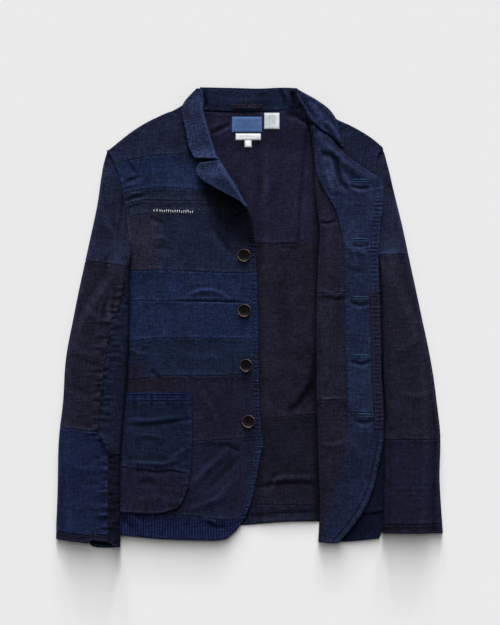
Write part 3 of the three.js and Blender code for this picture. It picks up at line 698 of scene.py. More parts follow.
def front_shade(x, y):
    """Painted shade: darker under the lapel and collar, and where the sleeve lies on the side."""
    below = lapel_shadow_line(x) - y
    reach = mix(26, 72, smooth(-74, -28, x))
    under_lapel = 0.8 * smooth(reach + 16, reach - 26, below) * smooth(-6, 4, below) * smooth(-88, -54, x)
    collar_gap = x + 100 + 10 * smooth(300, 240, y)
    under_collar = 0.34 * np.exp(-np.abs(collar_gap) / 7) * smooth(225, 245, y)
    sleeve_gap = np.clip(x - sleeve_inner_right(y), 0, 99)
    by_sleeve = 0.5 * np.exp(-sleeve_gap / 5) * smooth(120, 70, y)
    return np.clip(1 - under_lapel - under_collar - by_sleeve, 0.18, 1)


sleeve_inner_right = through((89, -181.8), (62, -183), (0, -183), (-86, -186), (-164, -192), (-226, -197),
                             (-361, -197))


def front_tint(name, x, y):
    """Where a patch shows a second cloth."""
    if name == "front_right_chest":
        return smooth(-122, -146, x)
    if name == "front_right_hip":
        return smooth(-96, -130, x) * 0.8 + 0.2 * smooth(-20, -60, x)
    if name == "front_right_waist":
        return smooth(-155, -158, x) * smooth(-76, -79, y)
    return None


patches(front_patches, side_right, front_right_edge, front_seams, front_top_z, 51, tint=front_tint,
        shade=front_shade)

# turned and stitched front edge
binding_grid = region(shifted(front_edge, -8), shifted(front_edge, 0.3), flat_edge(160), flat_edge(-319),
                      near=0, cell=0.6 * FINE)


def binding_z(x, y):
    return front_top_z(x, y) + 0.9 + ribs(front_edge(y) - x, y, 77, 3.6, 3.4, 1.0)


by = binding_grid[1]
blue_part = smooth(72, 66, by) * smooth(-42, -36, by) + 0.55 * smooth(-196, -206, by)
flat_patch("front_right_edge_binding", binding_grid, binding_z,
           cloth("front_right_edge_binding", (25, 30, 48), (26, 35, 61), weave="side"),
           seeds=(71, 72, 73, 74), pucker_amount=0.25, thickness=1.0, tint=blue_part,
           shade=front_shade(binding_grid[0], by))

# ---- patch pocket on the right front ----
pocket_outer = through((-119, -84), (-200, -84), (-242, -86), (-273, -92), (-292, -100), (-302, -108))
pocket_inner = through((-119, -240), (-260, -240), (-300, -234))
pocket_fold = through((-240, -236), (-197, -237), (-142, -243), (-126, -241), (-97, -246), (-84, -246))
pocket_seams = [
    through((-240, -121), (-84, -119)),
    through((-240, -135), (-84, -134)),
    pocket_fold,
    through((-240, -302), (-197, -307), (-137, -309), (-108, -302)),
]
pocket_creases = [
    ([(-187, -170), (-164, -172), (-137, -170), (-86, -161)], 2.8, -1.2),
    ([(-187, -163), (-150, -165), (-100, -158)], 3.6, 1.2),
    ([(-180, -190), (-150, -186), (-120, -194)], 4, 0.9),
    ([(-123, -225), (-105, -216), (-88, -205)], 4, 1.5),
    ([(-187, -229), (-160, -231), (-130, -232), (-95, -222)], 3.4, 1.9),
    ([(-187, -241), (-140, -246), (-115, -243), (-90, -250)], 2.8, -1.4),
    ([(-170, -262), (-150, -258), (-140, -266)], 5, -1.2),
    ([(-180, -290), (-150, -284), (-110, -286)], 6, 0.8),
]


def pocket_top_z(x, y):
    """Upper side of the right pocket."""
    calm = smooth(-215, -180, x)
    wave = calm * (crumple(x, y, 24, 0.5) + creases(x, y, pocket_creases))
    return front_base_z(x, y) + 2.5 + wave + 1.0 * calm


patches([
    ("pocket_right_band", dict(color=(23, 31, 60), second=(19, 25, 49)), -127),
    ("pocket_right_upper", dict(color=(25, 31, 52), second=(23, 28, 47)), -190),
    ("pocket_right_lower", dict(color=(27, 27, 41), second=(25, 27, 45)), -275),
], pocket_inner, pocket_outer, pocket_seams, pocket_top_z, 81, pucker_amount=0.9, reach=10, thickness=1.2)

# ---- lapel of the right front ----
lapel_roll = path((-41, 241), (-35, 231), (-29, 221), (-15, 199), (-4, 180), (3, 168))
lapel_edge = path((-72, 237), (-78, 227), (-74, 214), (-53, 200), (-28, 187), (-9, 177), (-2, 170))


def lapel_z(x, y):
    rise = mix(0.75, 1.0, smooth(166, 200, y))
    swell = 4.4 * np.exp(-(((x + 48) / 26) ** 2 + ((y - 212) / 22) ** 2))
    return FRONT_TOP + 3.4 + 8.6 * rise + swell + 0.7 * noise(x, y, 22, 5)


x, y, edges = ruled(lapel_roll, lapel_edge, 60, 95)
lapel_points = rolled(x, y, lambda u, v: front_base_z(u - 4, v) + 1.6, lapel_z)
extra_columns = lapel_points.shape[1] - x.shape[1]


def widen(values, fill=None):
    """Carries a grid's values under the roll."""
    first = values[:, 1:2] if fill is None else np.full_like(values[:, :1], fill)
    return np.concatenate([np.repeat(first, extra_columns + 1, axis=1), values[:, 1:]], axis=1)


outer_rim = rim_distance(edges, ("right", "top", "bottom"))
relief = turned_edge(outer_rim, 1.2) + pucker(x + y, outer_rim, 91, 0.35, 6)
add_sheet("lapel_right", lapel_points, widen(outer_rim, 9),
          cloth("lapel_right", (38, 46, 73), (33, 41, 66), heather=0.36, grain=1.3),
          thickness=1.8, relief=widen(relief, 0.0))


# ---- collar ----
def stand_z(x, y):
    return BACK_TOP + 2.6 + 1.8 * smooth(318, 346, y)


stand_grid = region(through((318, -70), (334, -71), (346, -69)), through((318, 82), (334, 82), (346, 80)),
                    through((-64, 353), (-33, 352), (-9, 351), (37, 351.5), (50, 353.2), (58, 354.4),
                            (68, 354), (84, 351.5)),
                    through((-64, 319), (0, 317.5), (53, 319), (62, 319), (84, 316)), near=333)
stand_creases = [
    ([(52, 352), (58, 340), (60, 326)], 2.6, -1.6),
    ([(60, 350), (66, 338), (70, 322)], 3.4, 2.2),
    ([(72, 350), (75, 336), (80, 320)], 3.4, -2.6),
    ([(-50, 336), (0, 333), (50, 337)], 5, 0.7),
    ([(-66, 345), (-62, 334), (-60, 324)], 3, -1.2),
]
# Painted shade: the stand darkens towards the hollow beside the open collar and at its other end under the
# right collar's roll.
flat_patch("collar_stand_back", stand_grid,
           lambda x, y: stand_z(x, y) + crumple(x, y, 15, 0.5) + creases(x, y, stand_creases),
           cloth("collar_stand_back", (29, 36, 58), (27, 33, 53)), seeds=(93, 94, 95, 96),
           shade=1 - 0.72 * smooth(58, 74, stand_grid[0]) * smooth(354, 345, stand_grid[1])
           - 0.35 * smooth(-56, -66, stand_grid[0]))

x, y, edges = ruled(path((-72, 352.5), (-20, 351.5), (20, 350.5), (58, 352), (80, 351)),
                    path((-70, 314), (-20, 312), (20, 312), (56, 314), (74, 316)), 38, 146)
points = rolled(x, y, lambda u, v: stand_z(u, v) - 0.2, lambda u, v: np.full_like(u, 0.9))
extra_columns = points.shape[1] - x.shape[1]
add_sheet("collar_fall_back", points, widen(rim_distance(edges, ("right",)), 9),
          cloth("collar_fall_back", (36, 43, 68)), thickness=0.8)

fall_roll = path((-68, 352), (-66, 335), (-66, 318), (-60, 292), (-54, 272), (-47, 250), (-43, 243))
fall_edge = path((-77, 352), (-88, 341), (-98, 328), (-100, 312), (-94, 287), (-89, 260), (-80, 243.5))


def collar_high(x, y):
    dent = crease(x, y, [(-70, 346), (-64, 330), (-62, 322)], 3, -1.6)
    return front_base_z(x, y) + 9.4 + 0.9 * noise(x, y, 25, 8) + dent


x, y, edges = ruled(fall_roll, fall_edge, 36, 112)
points = rolled(x, y, lambda u, v: front_base_z(u, v) + 2.0, collar_high, low_reach=5)
extra_columns = points.shape[1] - x.shape[1]
outer_rim = rim_distance(edges, ("right", "bottom"))
relief = turned_edge(outer_rim, 1.2) + pucker(y - x, outer_rim, 97, 0.35, 6)
add_sheet("collar_fall_right", points, widen(outer_rim, 9),
          cloth("collar_fall_right", (43, 52, 82), (44, 44, 66), weave="side", heather=0.36, grain=1.3),
          thickness=1.8, relief=widen(relief, 0.0),
          tint=widen(smooth(-84, -88, x) * smooth(305, 309, y) * smooth(334, 330, y)))

collar_outer = path((76, 354.5), (84, 350.5), (93, 345), (110, 335), (128, 322), (140, 306), (146, 286),
                    (153, 262))
collar_inner = path((77, 347), (82, 336), (91, 322), (100, 304), (117, 289), (134, 278), (143, 269),
                    (150, 261))


def collar_left_z(x, y):
    neck = smooth(84, 110, x)
    ridges = crease(x, y, [(124, 303), (134, 291), (142, 278), (149, 268)], 3.6, 2.6)
    ridges = ridges + crease(x, y, [(96, 330), (112, 312), (126, 296)], 7, 1.6)
    ridges = ridges + crease(x, y, [(86, 338), (100, 318), (112, 304)], 4, -1.6)
    return FLAP_TOP - 2.4 + 5.0 * neck - 1.6 * smooth(135, 152, x) + ridges


hollow_start = path((66, 350.5), (67, 334), (70, 318), (82, 302), (100, 284), (118, 272), (140, 258))
x, y, edges = ruled(hollow_start, collar_inner, 22, 120)
share = smooth(0, 1, edges["left"] / (edges["left"] + edges["right"]))
hollow_z = mix(3.2, collar_left_z(x, y) - 0.4, share ** 2) + 1.2 * noise(x, y, 9, 14)
# Its near-black colour is painted shade in the hollow between the stand and the open collar.
add_sheet("collar_left_hollow", stack(x, y, hollow_z), rim_distance(edges, ("left",)),
          cloth("collar_left_hollow", (14, 18, 31), (11, 14, 25)), thickness=1.0, nodes=(),
          slot="collar_left_open")
x, y, edges = ruled(collar_inner, collar_outer, 32, 130)
outer_rim = rim_distance(edges)
add_sheet("collar_left_open", stack(x, y, collar_left_z(x, y)), outer_rim,
          cloth("collar_left_open", (37, 44, 72), (33, 40, 66)), thickness=1.8,
          relief=turned_edge(outer_rim, 1.0) + pucker(x - y, outer_rim, 99, 0.4, 6))

# ---- left front, folded open ----
flap_edge = through((213, 207), (206, 212), (195, 213), (164, 211.5), (125, 208), (78, 206), (23, 208),
                    (-101, 211), (-156, 214), (-195, 213), (-234, 206), (-276, 196), (-309, 180), (-332, 164),
                    (-353, 146))
gorge = through((98, 300), (115, 285), (131, 275), (153, 250), (178, 232), (208, 213))
outer_seams = [
    through((98, 318), (128, 321), (142, 305), (162, 296), (193, 278), (214, 261)),
    through((100, 234), (205, 222)),
    through((100, -60), (264, -66)),
    through((118, -355), (162, -353), (206, -348.5), (209, -347), (213, -334), (224, -326),
            (262, -325)),
]
for k, (name, look, near) in enumerate([
    ("front_left_shoulder", dict(color=(15, 19, 35), second=(43, 49, 76), weave="check", period=2.9), 270),
    ("front_left_upper", dict(color=(27, 34, 54)), 80),
    # This darker colour is partly the cloth's own and partly painted shadow from the folded-open front above
    # it.
    ("front_left_skirt", dict(color=(20, 25, 44), second=(17, 22, 38)), -200),
]):
    grid = region(shifted(fold_line, 4), side_left, outer_seams[k], outer_seams[k + 1], near=near,
                  cell=FINE if k == 0 else 1.6 * FINE)
    # Painted shade: darker beside the edge of the folded-open front and along the gorge seam under the open
    # collar.
    by_flap = 0.5 * np.exp(-np.clip(grid[0] - flap_edge(grid[1]), 0, 99) / 9) * smooth(205, 180, grid[1])
    below_gorge = 0.5 * np.exp(-np.abs(grid[1] - gorge(grid[0])) / 5) * smooth(205, 215, grid[1])
    flat_patch(name, grid, lambda x, y: layer_z(x, y) + crumple(x, y, 28, 0.25), cloth(name, **look),
               seeds=(101, 102, 103 + k, 104 + k), shade=1 - by_flap - below_gorge)

pocket_grid = region(through((-119, 140), (-245, 140), (-300, 150)),
                     through((-119, 240), (-260, 240), (-300, 234)), through((140, -119), (240, -121)),
                     through((150, -306), (190, -309), (234, -302)), near=-200)
flat_patch("pocket_left", pocket_grid, lambda x, y: layer_z(x, y) + 1.9, cloth("pocket_left", (18, 22, 38)),
           thickness=1.2)

flap_creases = [
    ([(108, 284), (126, 262), (150, 240), (175, 222), (203, 209)], 7, 2.8),
    ([(116, 252), (131, 250), (140, 241), (143, 222), (148, 206), (160, 195)], 4.4, -4.2),
    ([(128, 226), (131, 205), (140, 188)], 6, 1.6),
    ([(150, 222), (156, 206), (168, 197), (186, 194)], 6, 1.6),
    ([(160, 201), (178, 197), (194, 199)], 3.0, -2.6),
    ([(164, 109), (178, 106), (192, 109)], 2.8, -1.2),
    ([(162, 20), (178, 15), (194, 19)], 3.0, -2.0),
    ([(164, -72), (180, -77), (196, -71)], 3.0, -2.2),
    ([(168, -164), (184, -168), (200, -163)], 3.0, -2.0),
    ([(112, 244), (116, 205), (122, 176)], 5, -1.0),
    ([(125, 232), (130, 205), (136, 180)], 5, 1.3),
    ([(122, 36), (140, 30), (156, 38)], 3, 1.0),
    ([(118, 28), (138, 24), (158, 26)], 2.6, -1.1),
    ([(112, 146), (128, 142), (144, 150)], 2.6, -1.4),
    ([(115, -133), (135, -129), (155, -134)], 3, 0.8),
    ([(116, -200), (135, -203), (150, -198)], 4, 0.9),
    ([(122, 190), (130, 120), (128, 60)], 9, 1.0),
    ([(118, 0), (126, -60), (122, -110)], 8, 0.8),
    ([(140, 80), (146, 10), (142, -60)], 8, -0.8),
    ([(160, 60), (172, 20), (168, -40)], 10, 0.9),
    ([(150, 120), (165, 100), (190, 96)], 5, 0.8),
    ([(156, 76), (172, 66), (190, 70)], 4, -0.8),
    ([(150, -190), (176, -215), (190, -250)], 8, 1.0),
]


def flap_base_z(x, y):
    rim = 1.6 * smooth(40, 6, flap_edge(y) - x) * smooth(-195, -120, y) * smooth(230, 180, y)
    return FLAP_TOP + rim + 1.3 * neck_lift(x, y)


def flap_z(x, y):
    """Upper side of the left front's inside, where it is folded open."""
    return flap_base_z(x, y) + 0.3 + crumple(x, y, 41, 0.75) + creases(x, y, flap_creases)


flap_seams = [
    shifted(gorge, -2.5),
    through((100, 141), (143, 146), (212, 150)),
    through((100, 33), (154, 36), (212, 38)),
    through((100, -134), (157, -132), (212, -128)),
    through((115, -354), (130, -356), (146, -355)),
]
for k, (name, look, near) in enumerate([
    ("flap_upper", dict(color=(34, 32, 48), second=(30, 29, 45)), 200),
    ("flap_chest", dict(color=(37, 35, 50), second=(33, 32, 48)), 90),
    ("flap_waist", dict(color=(35, 34, 48), second=(31, 31, 45)), -50),
    ("flap_skirt", dict(color=(33, 31, 44), second=(29, 29, 43)), -240),
]):
    x, y, edges = region(shifted(fold_line, 1), flap_edge, flap_seams[k], flap_seams[k + 1], near=near)
    points = rolled(x, y, lambda u, v: layer_z(u, v) - 0.2, flap_z)
    extra_columns = points.shape[1] - x.shape[1]
    seam_rim = rim_distance(edges, ("right", "top", "bottom"))
    relief = turned_edge(seam_rim)
    relief = relief + pucker(x, edges["top"], 113 + k, 0.5) + pucker(x, edges["bottom"], 114 + k, 0.5)
    ends = np.minimum(edges["top"], edges["bottom"])[:, :1]
    under = np.repeat(turned_edge(ends), extra_columns + 1, axis=1)
    relief = np.concatenate([under, relief[:, 1:]], axis=1)
    # Painted shade along the fold of the open front.
    shade = 1 - 0.5 * np.exp(-np.abs(points[:, :, 0] - fold_line(points[:, :, 1])) / 5)
    add_sheet(name, points, widen(seam_rim), cloth(name, **look), relief=relief, shade=shade)

facing_inner = through((297, 104), (250, 107), (215, 112), (195, 121), (179, 131), (156, 142), (101, 152),
                       (-8, 154), (-101, 156), (-148, 158), (-211, 154), (-257, 142), (-304, 128),
                       (-323, 121), (-352, 117))


def flap_inside(x, y):
    """How far a point lies inside the open front's edge."""
    slope = (flap_edge(y + 1) - flap_edge(y - 1)) / 2
    return (flap_edge(y) - x) / np.sqrt(1 + slope ** 2)


def facing_z(x, y):
    """Upper side of the facing that lies on the folded front."""
    bound = -1.0 * np.exp(-(((flap_inside(x, y) - 8) / 1.3) ** 2)) * smooth(-175, -200, y)
    gathers = ribs(flap_inside(x, y), y, 78, 6.5, 5.5, 0.8) * smooth(-195, -175, y) * smooth(212, 198, y)
    return flap_z(x, y) + 2.0 + bound + gathers


facing_seams = [
    shifted(gorge, 1.2),
    through((130, 99), (208, 104)),
    through((130, -150), (213, -154)),
    through((115, -353), (130, -355.3), (146, -354.4)),
]
patches([
    ("lapel_left_open", dict(color=(36, 44, 69), second=(33, 40, 64)), 190),
    ("facing_left_upper", dict(color=(33, 41, 65), second=(30, 37, 59)), -20),
    ("facing_left_lower", dict(color=(30, 37, 59), second=(27, 33, 52)), -250),
], facing_inner, shifted(flap_edge, 0.4), facing_seams, facing_z, 121, cell=0.65 * FINE, pucker_amount=0.3,
    thickness=1.4)

strip_grid = region(shifted(flap_edge, -15), shifted(flap_edge, 0.2), flat_edge(36), flat_edge(-178),
                    near=-50, cell=0.6 * FINE)
flat_patch("facing_left_edge_strip", strip_grid, lambda x, y: facing_z(x, y) + 1.0,
           cloth("facing_left_edge_strip", (33, 31, 47), (28, 30, 48)), seeds=(131, 132, 133, 134),
           pucker_amount=0.25, thickness=1.0)

# ---- sleeves ----
EDGE_SHARE = 0.08


def flat_share(share):
    """A share of the sleeve's flat side, clear of its folded edge."""
    return EDGE_SHARE + (1 - 2 * EDGE_SHARE) * share


right_strip = through((84, 0), (30, 0.1), (-8, 0.28), (-70, 0.34), (-133, 0.38), (-175, 0.34), (-205, 0.16),
                      (-250, 0.14), (-349, 0.14))
SLEEVES = {
    "right": dict(
        side=-1, slant=0.12, body=side_right,
        outer=through((254, -217), (237, -222), (214, -226), (172, -232), (120, -243), (83, -251), (47, -259),
                      (-8, -270), (-70, -281), (-133, -285), (-195, -292), (-273, -294), (-349, -297)),
        inner=through((254, -216.6), (237, -206.8), (204, -195.8), (151, -187.8), (117, -183.8), (89, -181.8),
                      (62, -183), (0, -183), (-86, -186), (-164, -192), (-226, -197), (-361, -197)),
    ),
    "left": dict(
        side=1, slant=0.0, body=side_left,
        outer=through((258, 214.5), (226, 223), (179, 234), (133, 245), (90, 254), (39, 265), (-8, 275),
                      (-55, 285), (-94, 292), (-140, 298), (-187, 303), (-257, 302), (-340, 307)),
        inner=through((258, 212.6), (245, 206.6), (225, 206.2), (212, 209.8), (200, 215.4), (164, 213.8),
                      (125, 210.8), (89, 209.3), (78, 209), (23, 211), (-101, 214), (-156, 217), (-195, 215),
                      (-265, 214.5), (-340, 212)),
    ),
}


def sleeve_points(sleeve, s, station):
    """Points of a flattened tube: s runs 0 to 1 over the top from the inner edge, 1 to 2 back underneath."""
    around = np.mod(s, 2)
    upper = around <= 1
    position = np.where(upper, around, 2 - around)
    outer_x = sleeve["outer"](station)
    reach = np.abs(sleeve["inner"](station) - outer_x)
    inner_y = station - sleeve["slant"] * reach
    inner_x = sleeve["inner"](inner_y) - sleeve["side"] * 2.6 * smooth(70, 104, inner_y)
    width = np.hypot(outer_x - inner_x, station - inner_y)
    over = smooth(140, 50, inner_y)

    def loft(c):
        opened = mix(0.3, 1.0, smooth(0, 38, c))
        full = SLEEVE_LOFT * smooth(0, 30, width)
        return full * mix(opened, 1.0, over) + 1.2 * (1 - smooth(0, 30, width))

    inner_radius = over * loft(0 * width) / 2
    outer_radius = np.minimum(loft(width) / 2, width * 0.3)
    near = position < EDGE_SHARE
    far = position > 1 - EDGE_SHARE
    angle = np.pi / 2 * np.where(near, position, np.where(far, 1 - position, EDGE_SHARE)) / EDGE_SHARE
    along = (position - EDGE_SHARE) / (1 - 2 * EDGE_SHARE)
    c = np.where(near, inner_radius * (1 - np.cos(angle)),
                 np.where(far, width - outer_radius * (1 - np.cos(angle)),
                          mix(inner_radius, width - outer_radius, along)))
    x = mix(inner_x, outer_x, c / width)
    y = mix(inner_y, station, c / width)
    depth = sleeve["side"] * (sleeve["body"](y) - x)
    lower = 0.2 + SLEEVE_OVER_BODY * over * smooth(-32, -9, depth)
    half = loft(c) / 2
    crown = 1.6 * np.sin(np.pi * np.clip(c / width, 0, 1)) * over
    z = lower + half + np.where(upper, 1, -1) * np.sin(angle) * half + np.where(upper, crown, 0)
    if sleeve["side"] < 0:
        open_part = smooth(-248, -238, x) * smooth(-188, -202, x) * smooth(0.1, 0.2, around) * upper
        y = y + 5.5 * open_part * smooth(-318, -349, station)
        z = z + 1.5 * open_part * smooth(-330, -349, station)
    return stack(x, y, z)


sleeve_creases = [
    ([(-236, 190), (-222, 150), (-205, 120)], 7, 1.6),
    ([(-215, 175), (-205, 140), (-195, 105)], 5, -1.0),
    ([(-258, 20), (-235, 0), (-205, -12)], 6, 1.0),
    ([(-270, -50), (-245, -62), (-225, -60)], 6, 0.9),
    ([(-278, -110), (-250, -118), (-232, -112)], 6, -0.8),
    ([(-284, -230), (-250, -238), (-215, -232)], 7, 0.7),
    ([(238, 130), (232, 80), (228, 30)], 9, 1.2),
    ([(270, -30), (250, -50), (232, -58)], 7, 1.0),
    ([(285, -120), (262, -128), (240, -120)], 6, 0.9),
    ([(284, -94), (291, -130), (295, -190), (294, -290)], 1.6, -0.7),
    ([(262, 60), (276, 0), (284, -60)], 6, 0.7),
    ([(-192, 190), (-196, 150), (-200, 120)], 3, -1.2),
    ([(-206, 200), (-212, 170), (-210, 140)], 4, 1.0),
    ([(-200, 60), (-208, 20), (-206, -20)], 5, -1.0),
    ([(216, -266), (250, -264), (302, -266)], 1.6, -0.5),
    ([(216, -275), (250, -274), (302, -276)], 1.6, -0.5),
    ([(230, -282), (260, -281), (302, -283)], 1.6, -0.4),
    ([(-224, 96), (-216, 40), (-226, -20)], 8, -1.0),
    ([(-214, 30), (-224, 0), (-228, -40)], 3.5, -1.3),
    ([(-206, 40), (-214, 10), (-212, -30)], 4, 1.2),
]


def sleeve_patch(name, side, start, end, top, bottom, color, second, seed):
    """A sleeve's patch between two stations along it and two lines around it."""
    sleeve = SLEEVES[side]
    cell = HIDDEN if name.startswith("sleeve_left_under") else 1.1 * FINE
    stations = mix(top - 0.1, bottom + 0.1, graded(top - bottom, cell))[:, None]
    s0 = start(stations)
    s1 = end(stations)
    shares = graded(150, cell)[None, :]
    s = mix(s0, s1, shares)
    points = sleeve_points(sleeve, s, stations + 0 * s)
    lengths = np.linalg.norm(np.diff(points, axis=1), axis=2)
    run = np.concatenate([np.zeros((len(points), 1)), np.cumsum(lengths, axis=1)], axis=1)
    total = run[:, -1:]
    edges = {
        "left": run,
        "right": total - run,
        "top": top - stations + 0 * run,
        "bottom": stations - bottom + 0 * run,
    }
    relief = turned_edge(rim_distance(edges))
    x = points[:, :, 0]
    y = points[:, :, 1]
    relief = relief + pucker(x, edges["top"], seed, 0.5) + pucker(x, edges["bottom"], seed + 1, 0.5)
    on_top = smooth(0.02, 0.14, np.mod(s, 2)) * smooth(1.0, 0.9, np.mod(s, 2))
    # Painted shade along the inner edge of the sleeve's lower part, where it falls onto the body.
    inner_shade = 0.5 * smooth(0.2, 0.03, s) * smooth(110, 60, y)
    seam = edges["left"] if name.startswith("sleeve_right_top") else edges["right"]
    gather = 1.5 * smooth(70, 10, y) + 0.2 if side == "right" else 0.15
    relief = relief + gather * pucker(y, seam, seed + 20, 1.0, 13, 4.4)
    relief = relief + on_top * (crumple(x, y, 61, 0.8) + creases(x, y, sleeve_creases))
    add_sheet(name, points, rim_distance(edges), cloth(name, color, second), thickness=1.4, relief=relief,
              shade=1 - inner_shade)


def top_start_right(y):
    """Line around the right sleeve where its top patches begin."""
    return np.where(y > 84, EDGE_SHARE, flat_share(np.maximum(0, right_strip(y))))


def top_start_left(y):
    return np.full_like(y, -0.05)


def under_edge(start):
    """Line around a sleeve where its under patches end."""
    return lambda y: mix(-EDGE_SHARE, start(y), smooth(130, 96, y))


SLEEVE_PATCHES = {
    "right": [
        ("top_upper", top_start_right, flat_edge(1.206), 257, 84, (31, 36, 56), (29, 33, 50), 141),
        ("top_middle", top_start_right, flat_edge(1.206), 84, -175, (32, 31, 45), (29, 30, 44), 142),
        ("top_lower", top_start_right, flat_edge(1.206), -175, -337, (26, 34, 61), (27, 33, 56), 143),
        ("cuff", top_start_right, flat_edge(1.206), -337, -349, (28, 27, 41), (26, 26, 42), 144),
        ("under_upper", flat_edge(-0.794), under_edge(top_start_right), 252, -205,
         (26, 31, 50), (24, 29, 46), 145),
        ("under_lower", flat_edge(-0.794), under_edge(top_start_right), -205, -349,
         (23, 24, 38), (20, 22, 36), 146),
    ],
    "left": [
        ("top_upper", top_start_left, flat_edge(1.03), 261, 94, (35, 39, 60), (31, 36, 55), 151),
        ("top_middle", top_start_left, flat_edge(1.03), 94, -194, (32, 31, 44), (29, 30, 44), 152),
        ("top_lower", top_start_left, flat_edge(1.03), -194, -326, (28, 30, 47), (25, 27, 43), 153),
        ("cuff", top_start_left, flat_edge(1.03), -326, -340, (27, 26, 39), (24, 25, 38), 154),
        ("under_upper", flat_edge(-0.97), flat_edge(-0.055), 254, -194, (30, 33, 50), (28, 30, 46), 155),
        ("under_lower", flat_edge(-0.97), flat_edge(-0.055), -194, -340, (25, 28, 45), (23, 26, 42), 156),
    ],
}
for side, table in SLEEVE_PATCHES.items():
    for part, start, end, top, bottom, color, second, seed in table:
        sleeve_patch(f"sleeve_{side}_{part}", side, start, end, top, bottom, color, second, seed)

# inside of the under sleeve, which shows in the right cuff's opening
cuff_grid = region(flat_edge(-244), flat_edge(-197), flat_edge(-340),
                   through((-246, -356), (-238, -361.5), (-212, -363), (-196, -361.5)), near=-350)
flat_patch("sleeve_right_cuff_inside", cuff_grid, lambda x, y: 3.4 + 0 * x,
           cloth("sleeve_right_cuff_inside", (30, 46, 62), (34, 48, 66)), thickness=0.8, nodes=(),
           slot="sleeve_right_under_lower")

# ---- labels and loop ----
label_looks = [
    ("label_upper", -22, 25, 285, 309, (78, 103, 150), "label_upper"),
    ("label_side", 28.5, 52, 290, 315, (206, 212, 215), "label_side"),
    ("label_lower", -16, 23, 273, 283, (228, 233, 236), "label_lower"),
    ("label_tab", -2, 8.5, 262, 273.5, (234, 238, 240), "label_lower"),
]
for name, x0, x1, y0, y1, color, slot in label_looks:
    grid = region(flat_edge(x0), flat_edge(x1), flat_edge(y1), flat_edge(y0), near=(y0 + y1) / 2)
    flat_patch(name, grid, lambda x, y: BACK_TOP + neck_lift(x, y) + 1.9 - 0.3 * (name == "label_tab"),
               cloth(name, color, heather=0.04, grain=0.25), pucker_amount=0.08, thickness=0.7,
               nodes=[name] if name == slot else (), slot=slot)

loop_grid = region(flat_edge(-24), flat_edge(26), flat_edge(329), flat_edge(321), near=325)
flat_patch("hanger_loop", loop_grid,
           lambda x, y: stand_z(x, y) + 1.2 + 1.2 * np.sin(np.pi * np.clip((x + 24) / 50, 0, 1)),
           cloth("hanger_loop", (34, 32, 47)), pucker_amount=0.1, thickness=1.2)

# ---- threads ----
thread_colors = {
    "navy": (36, 46, 76),
    "bright": (46, 60, 96),
    "dark": (19, 22, 36),
    "teal": (58, 92, 124),
    "white": (232, 234, 232),
}
threads = {key: plain("thread_" + key, color, 0.85) for key, color in thread_colors.items()}


def sewn(name, slot, segments, width, material, height=0.5):
    """Many stitches as one mesh: each is a low tapered bar from one point to another."""
    start = np.array([a for a, b in segments], float)
    end = np.array([b for a, b in segments], float)
    along = end - start
    length = np.linalg.norm(along, axis=1, keepdims=True)
    along = along / length
    side = np.cross(along, [0, 0, 1])
    side = side / np.linalg.norm(side, axis=1, keepdims=True) * width / 2
    up = np.array([0, 0, height])
    taper = 0.18
    near = start + along * length * taper
    far = end - along * length * taper
    parts = [start, near - side, near + up, near + side, far - side, far + up, far + side, end]
    points = np.stack(parts, axis=1).reshape(-1, 3)
    shape = [(0, 2, 1), (0, 3, 2), (0, 1, 3), (1, 2, 5, 4), (2, 3, 6, 5), (3, 1, 4, 6), (7, 4, 5), (7, 5, 6),
             (7, 6, 4)]
    faces = [[8 * k + i for i in face] for k in range(len(start)) for face in shape]
    stitches = add_mesh(name, points, faces, material)
    declare(stitches, (), slot)


def run_along(x, y, z, length=3.0, gap=1.5):
    """Running stitches spaced along a line of points."""
    line = np.stack([x, y, z], axis=-1).astype(float)
    steps = np.concatenate([[0], np.cumsum(np.linalg.norm(np.diff(line, axis=0), axis=1))])
    starts = np.arange(0, steps[-1] - length, length + gap)
    at = [np.interp(starts, steps, line[:, i]) for i in range(3)]
    to = [np.interp(starts + length, steps, line[:, i]) for i in range(3)]
    return list(zip(np.stack(at, axis=1), np.stack(to, axis=1)))


def row_on(surface, x, y, lift=0.3, *spacing):
    """Running stitches along a line that lies on a surface."""
    y = y + 0 * x
    x = x + 0 * y
    return run_along(x, y, surface(x, y) + lift, *spacing)


def between(start, end, share):
    """A line lying part of the way from one path to another."""
    t = np.linspace(0.02, 0.98, 200)
    ax, ay = start(t)
    bx, by = end(t)
    return mix(ax, bx, share), mix(ay, by, share)


# The stitches under the lapel take the dark thread as painted shade; lower down they take the bright thread.
for part, start, end, thread in (("shaded", 158, 110, "dark"), ("lit", 110, -316, "bright")):
    y = np.linspace(start, end, 500)
    rows = []
    for inside, lift in ((2.4, 1.4), (8.8, 0.5)):
        x = front_edge(y) - inside
        rows += row_on(front_top_z, x, y, lift)
    sewn("front_right_edge_stitches_" + part, "front_right_edge_binding", rows, 0.8, threads[thread])
x = np.linspace(-172, -34, 300)
rows = row_on(front_top_z, x, front_hem(x) + 4)
for k in (10, 9, 7, 6, 4, 1):
    y = front_seams[k](x) - 2.2
    reach = x < front_edge(y) - 12
    rows += row_on(front_top_z, x[reach], y[reach], 0.25, 2.4, 1.6)
sewn("front_right_seam_stitches", "front_right_hem", rows, 0.7, threads["dark"], 0.35)

rows = []
x = np.linspace(-186, -86, 200)
for y_row in (-122.5, -127, -131.4):
    rows += row_on(pocket_top_z, x, y_row, 0.3, 2.6, 1.4)
sewn("pocket_right_band_stitches", "pocket_right_band", rows, 0.9, threads["navy"])
y = np.linspace(-124, -298, 250)
rows = row_on(pocket_top_z, pocket_outer(y) - 2.4, y)
x = np.linspace(-192, -112, 150)
y = pocket_seams[3](x) + 2.4
rows += row_on(pocket_top_z, x, y)
sewn("pocket_right_edge_stitches", "pocket_right_lower", rows, 0.8, threads["navy"])

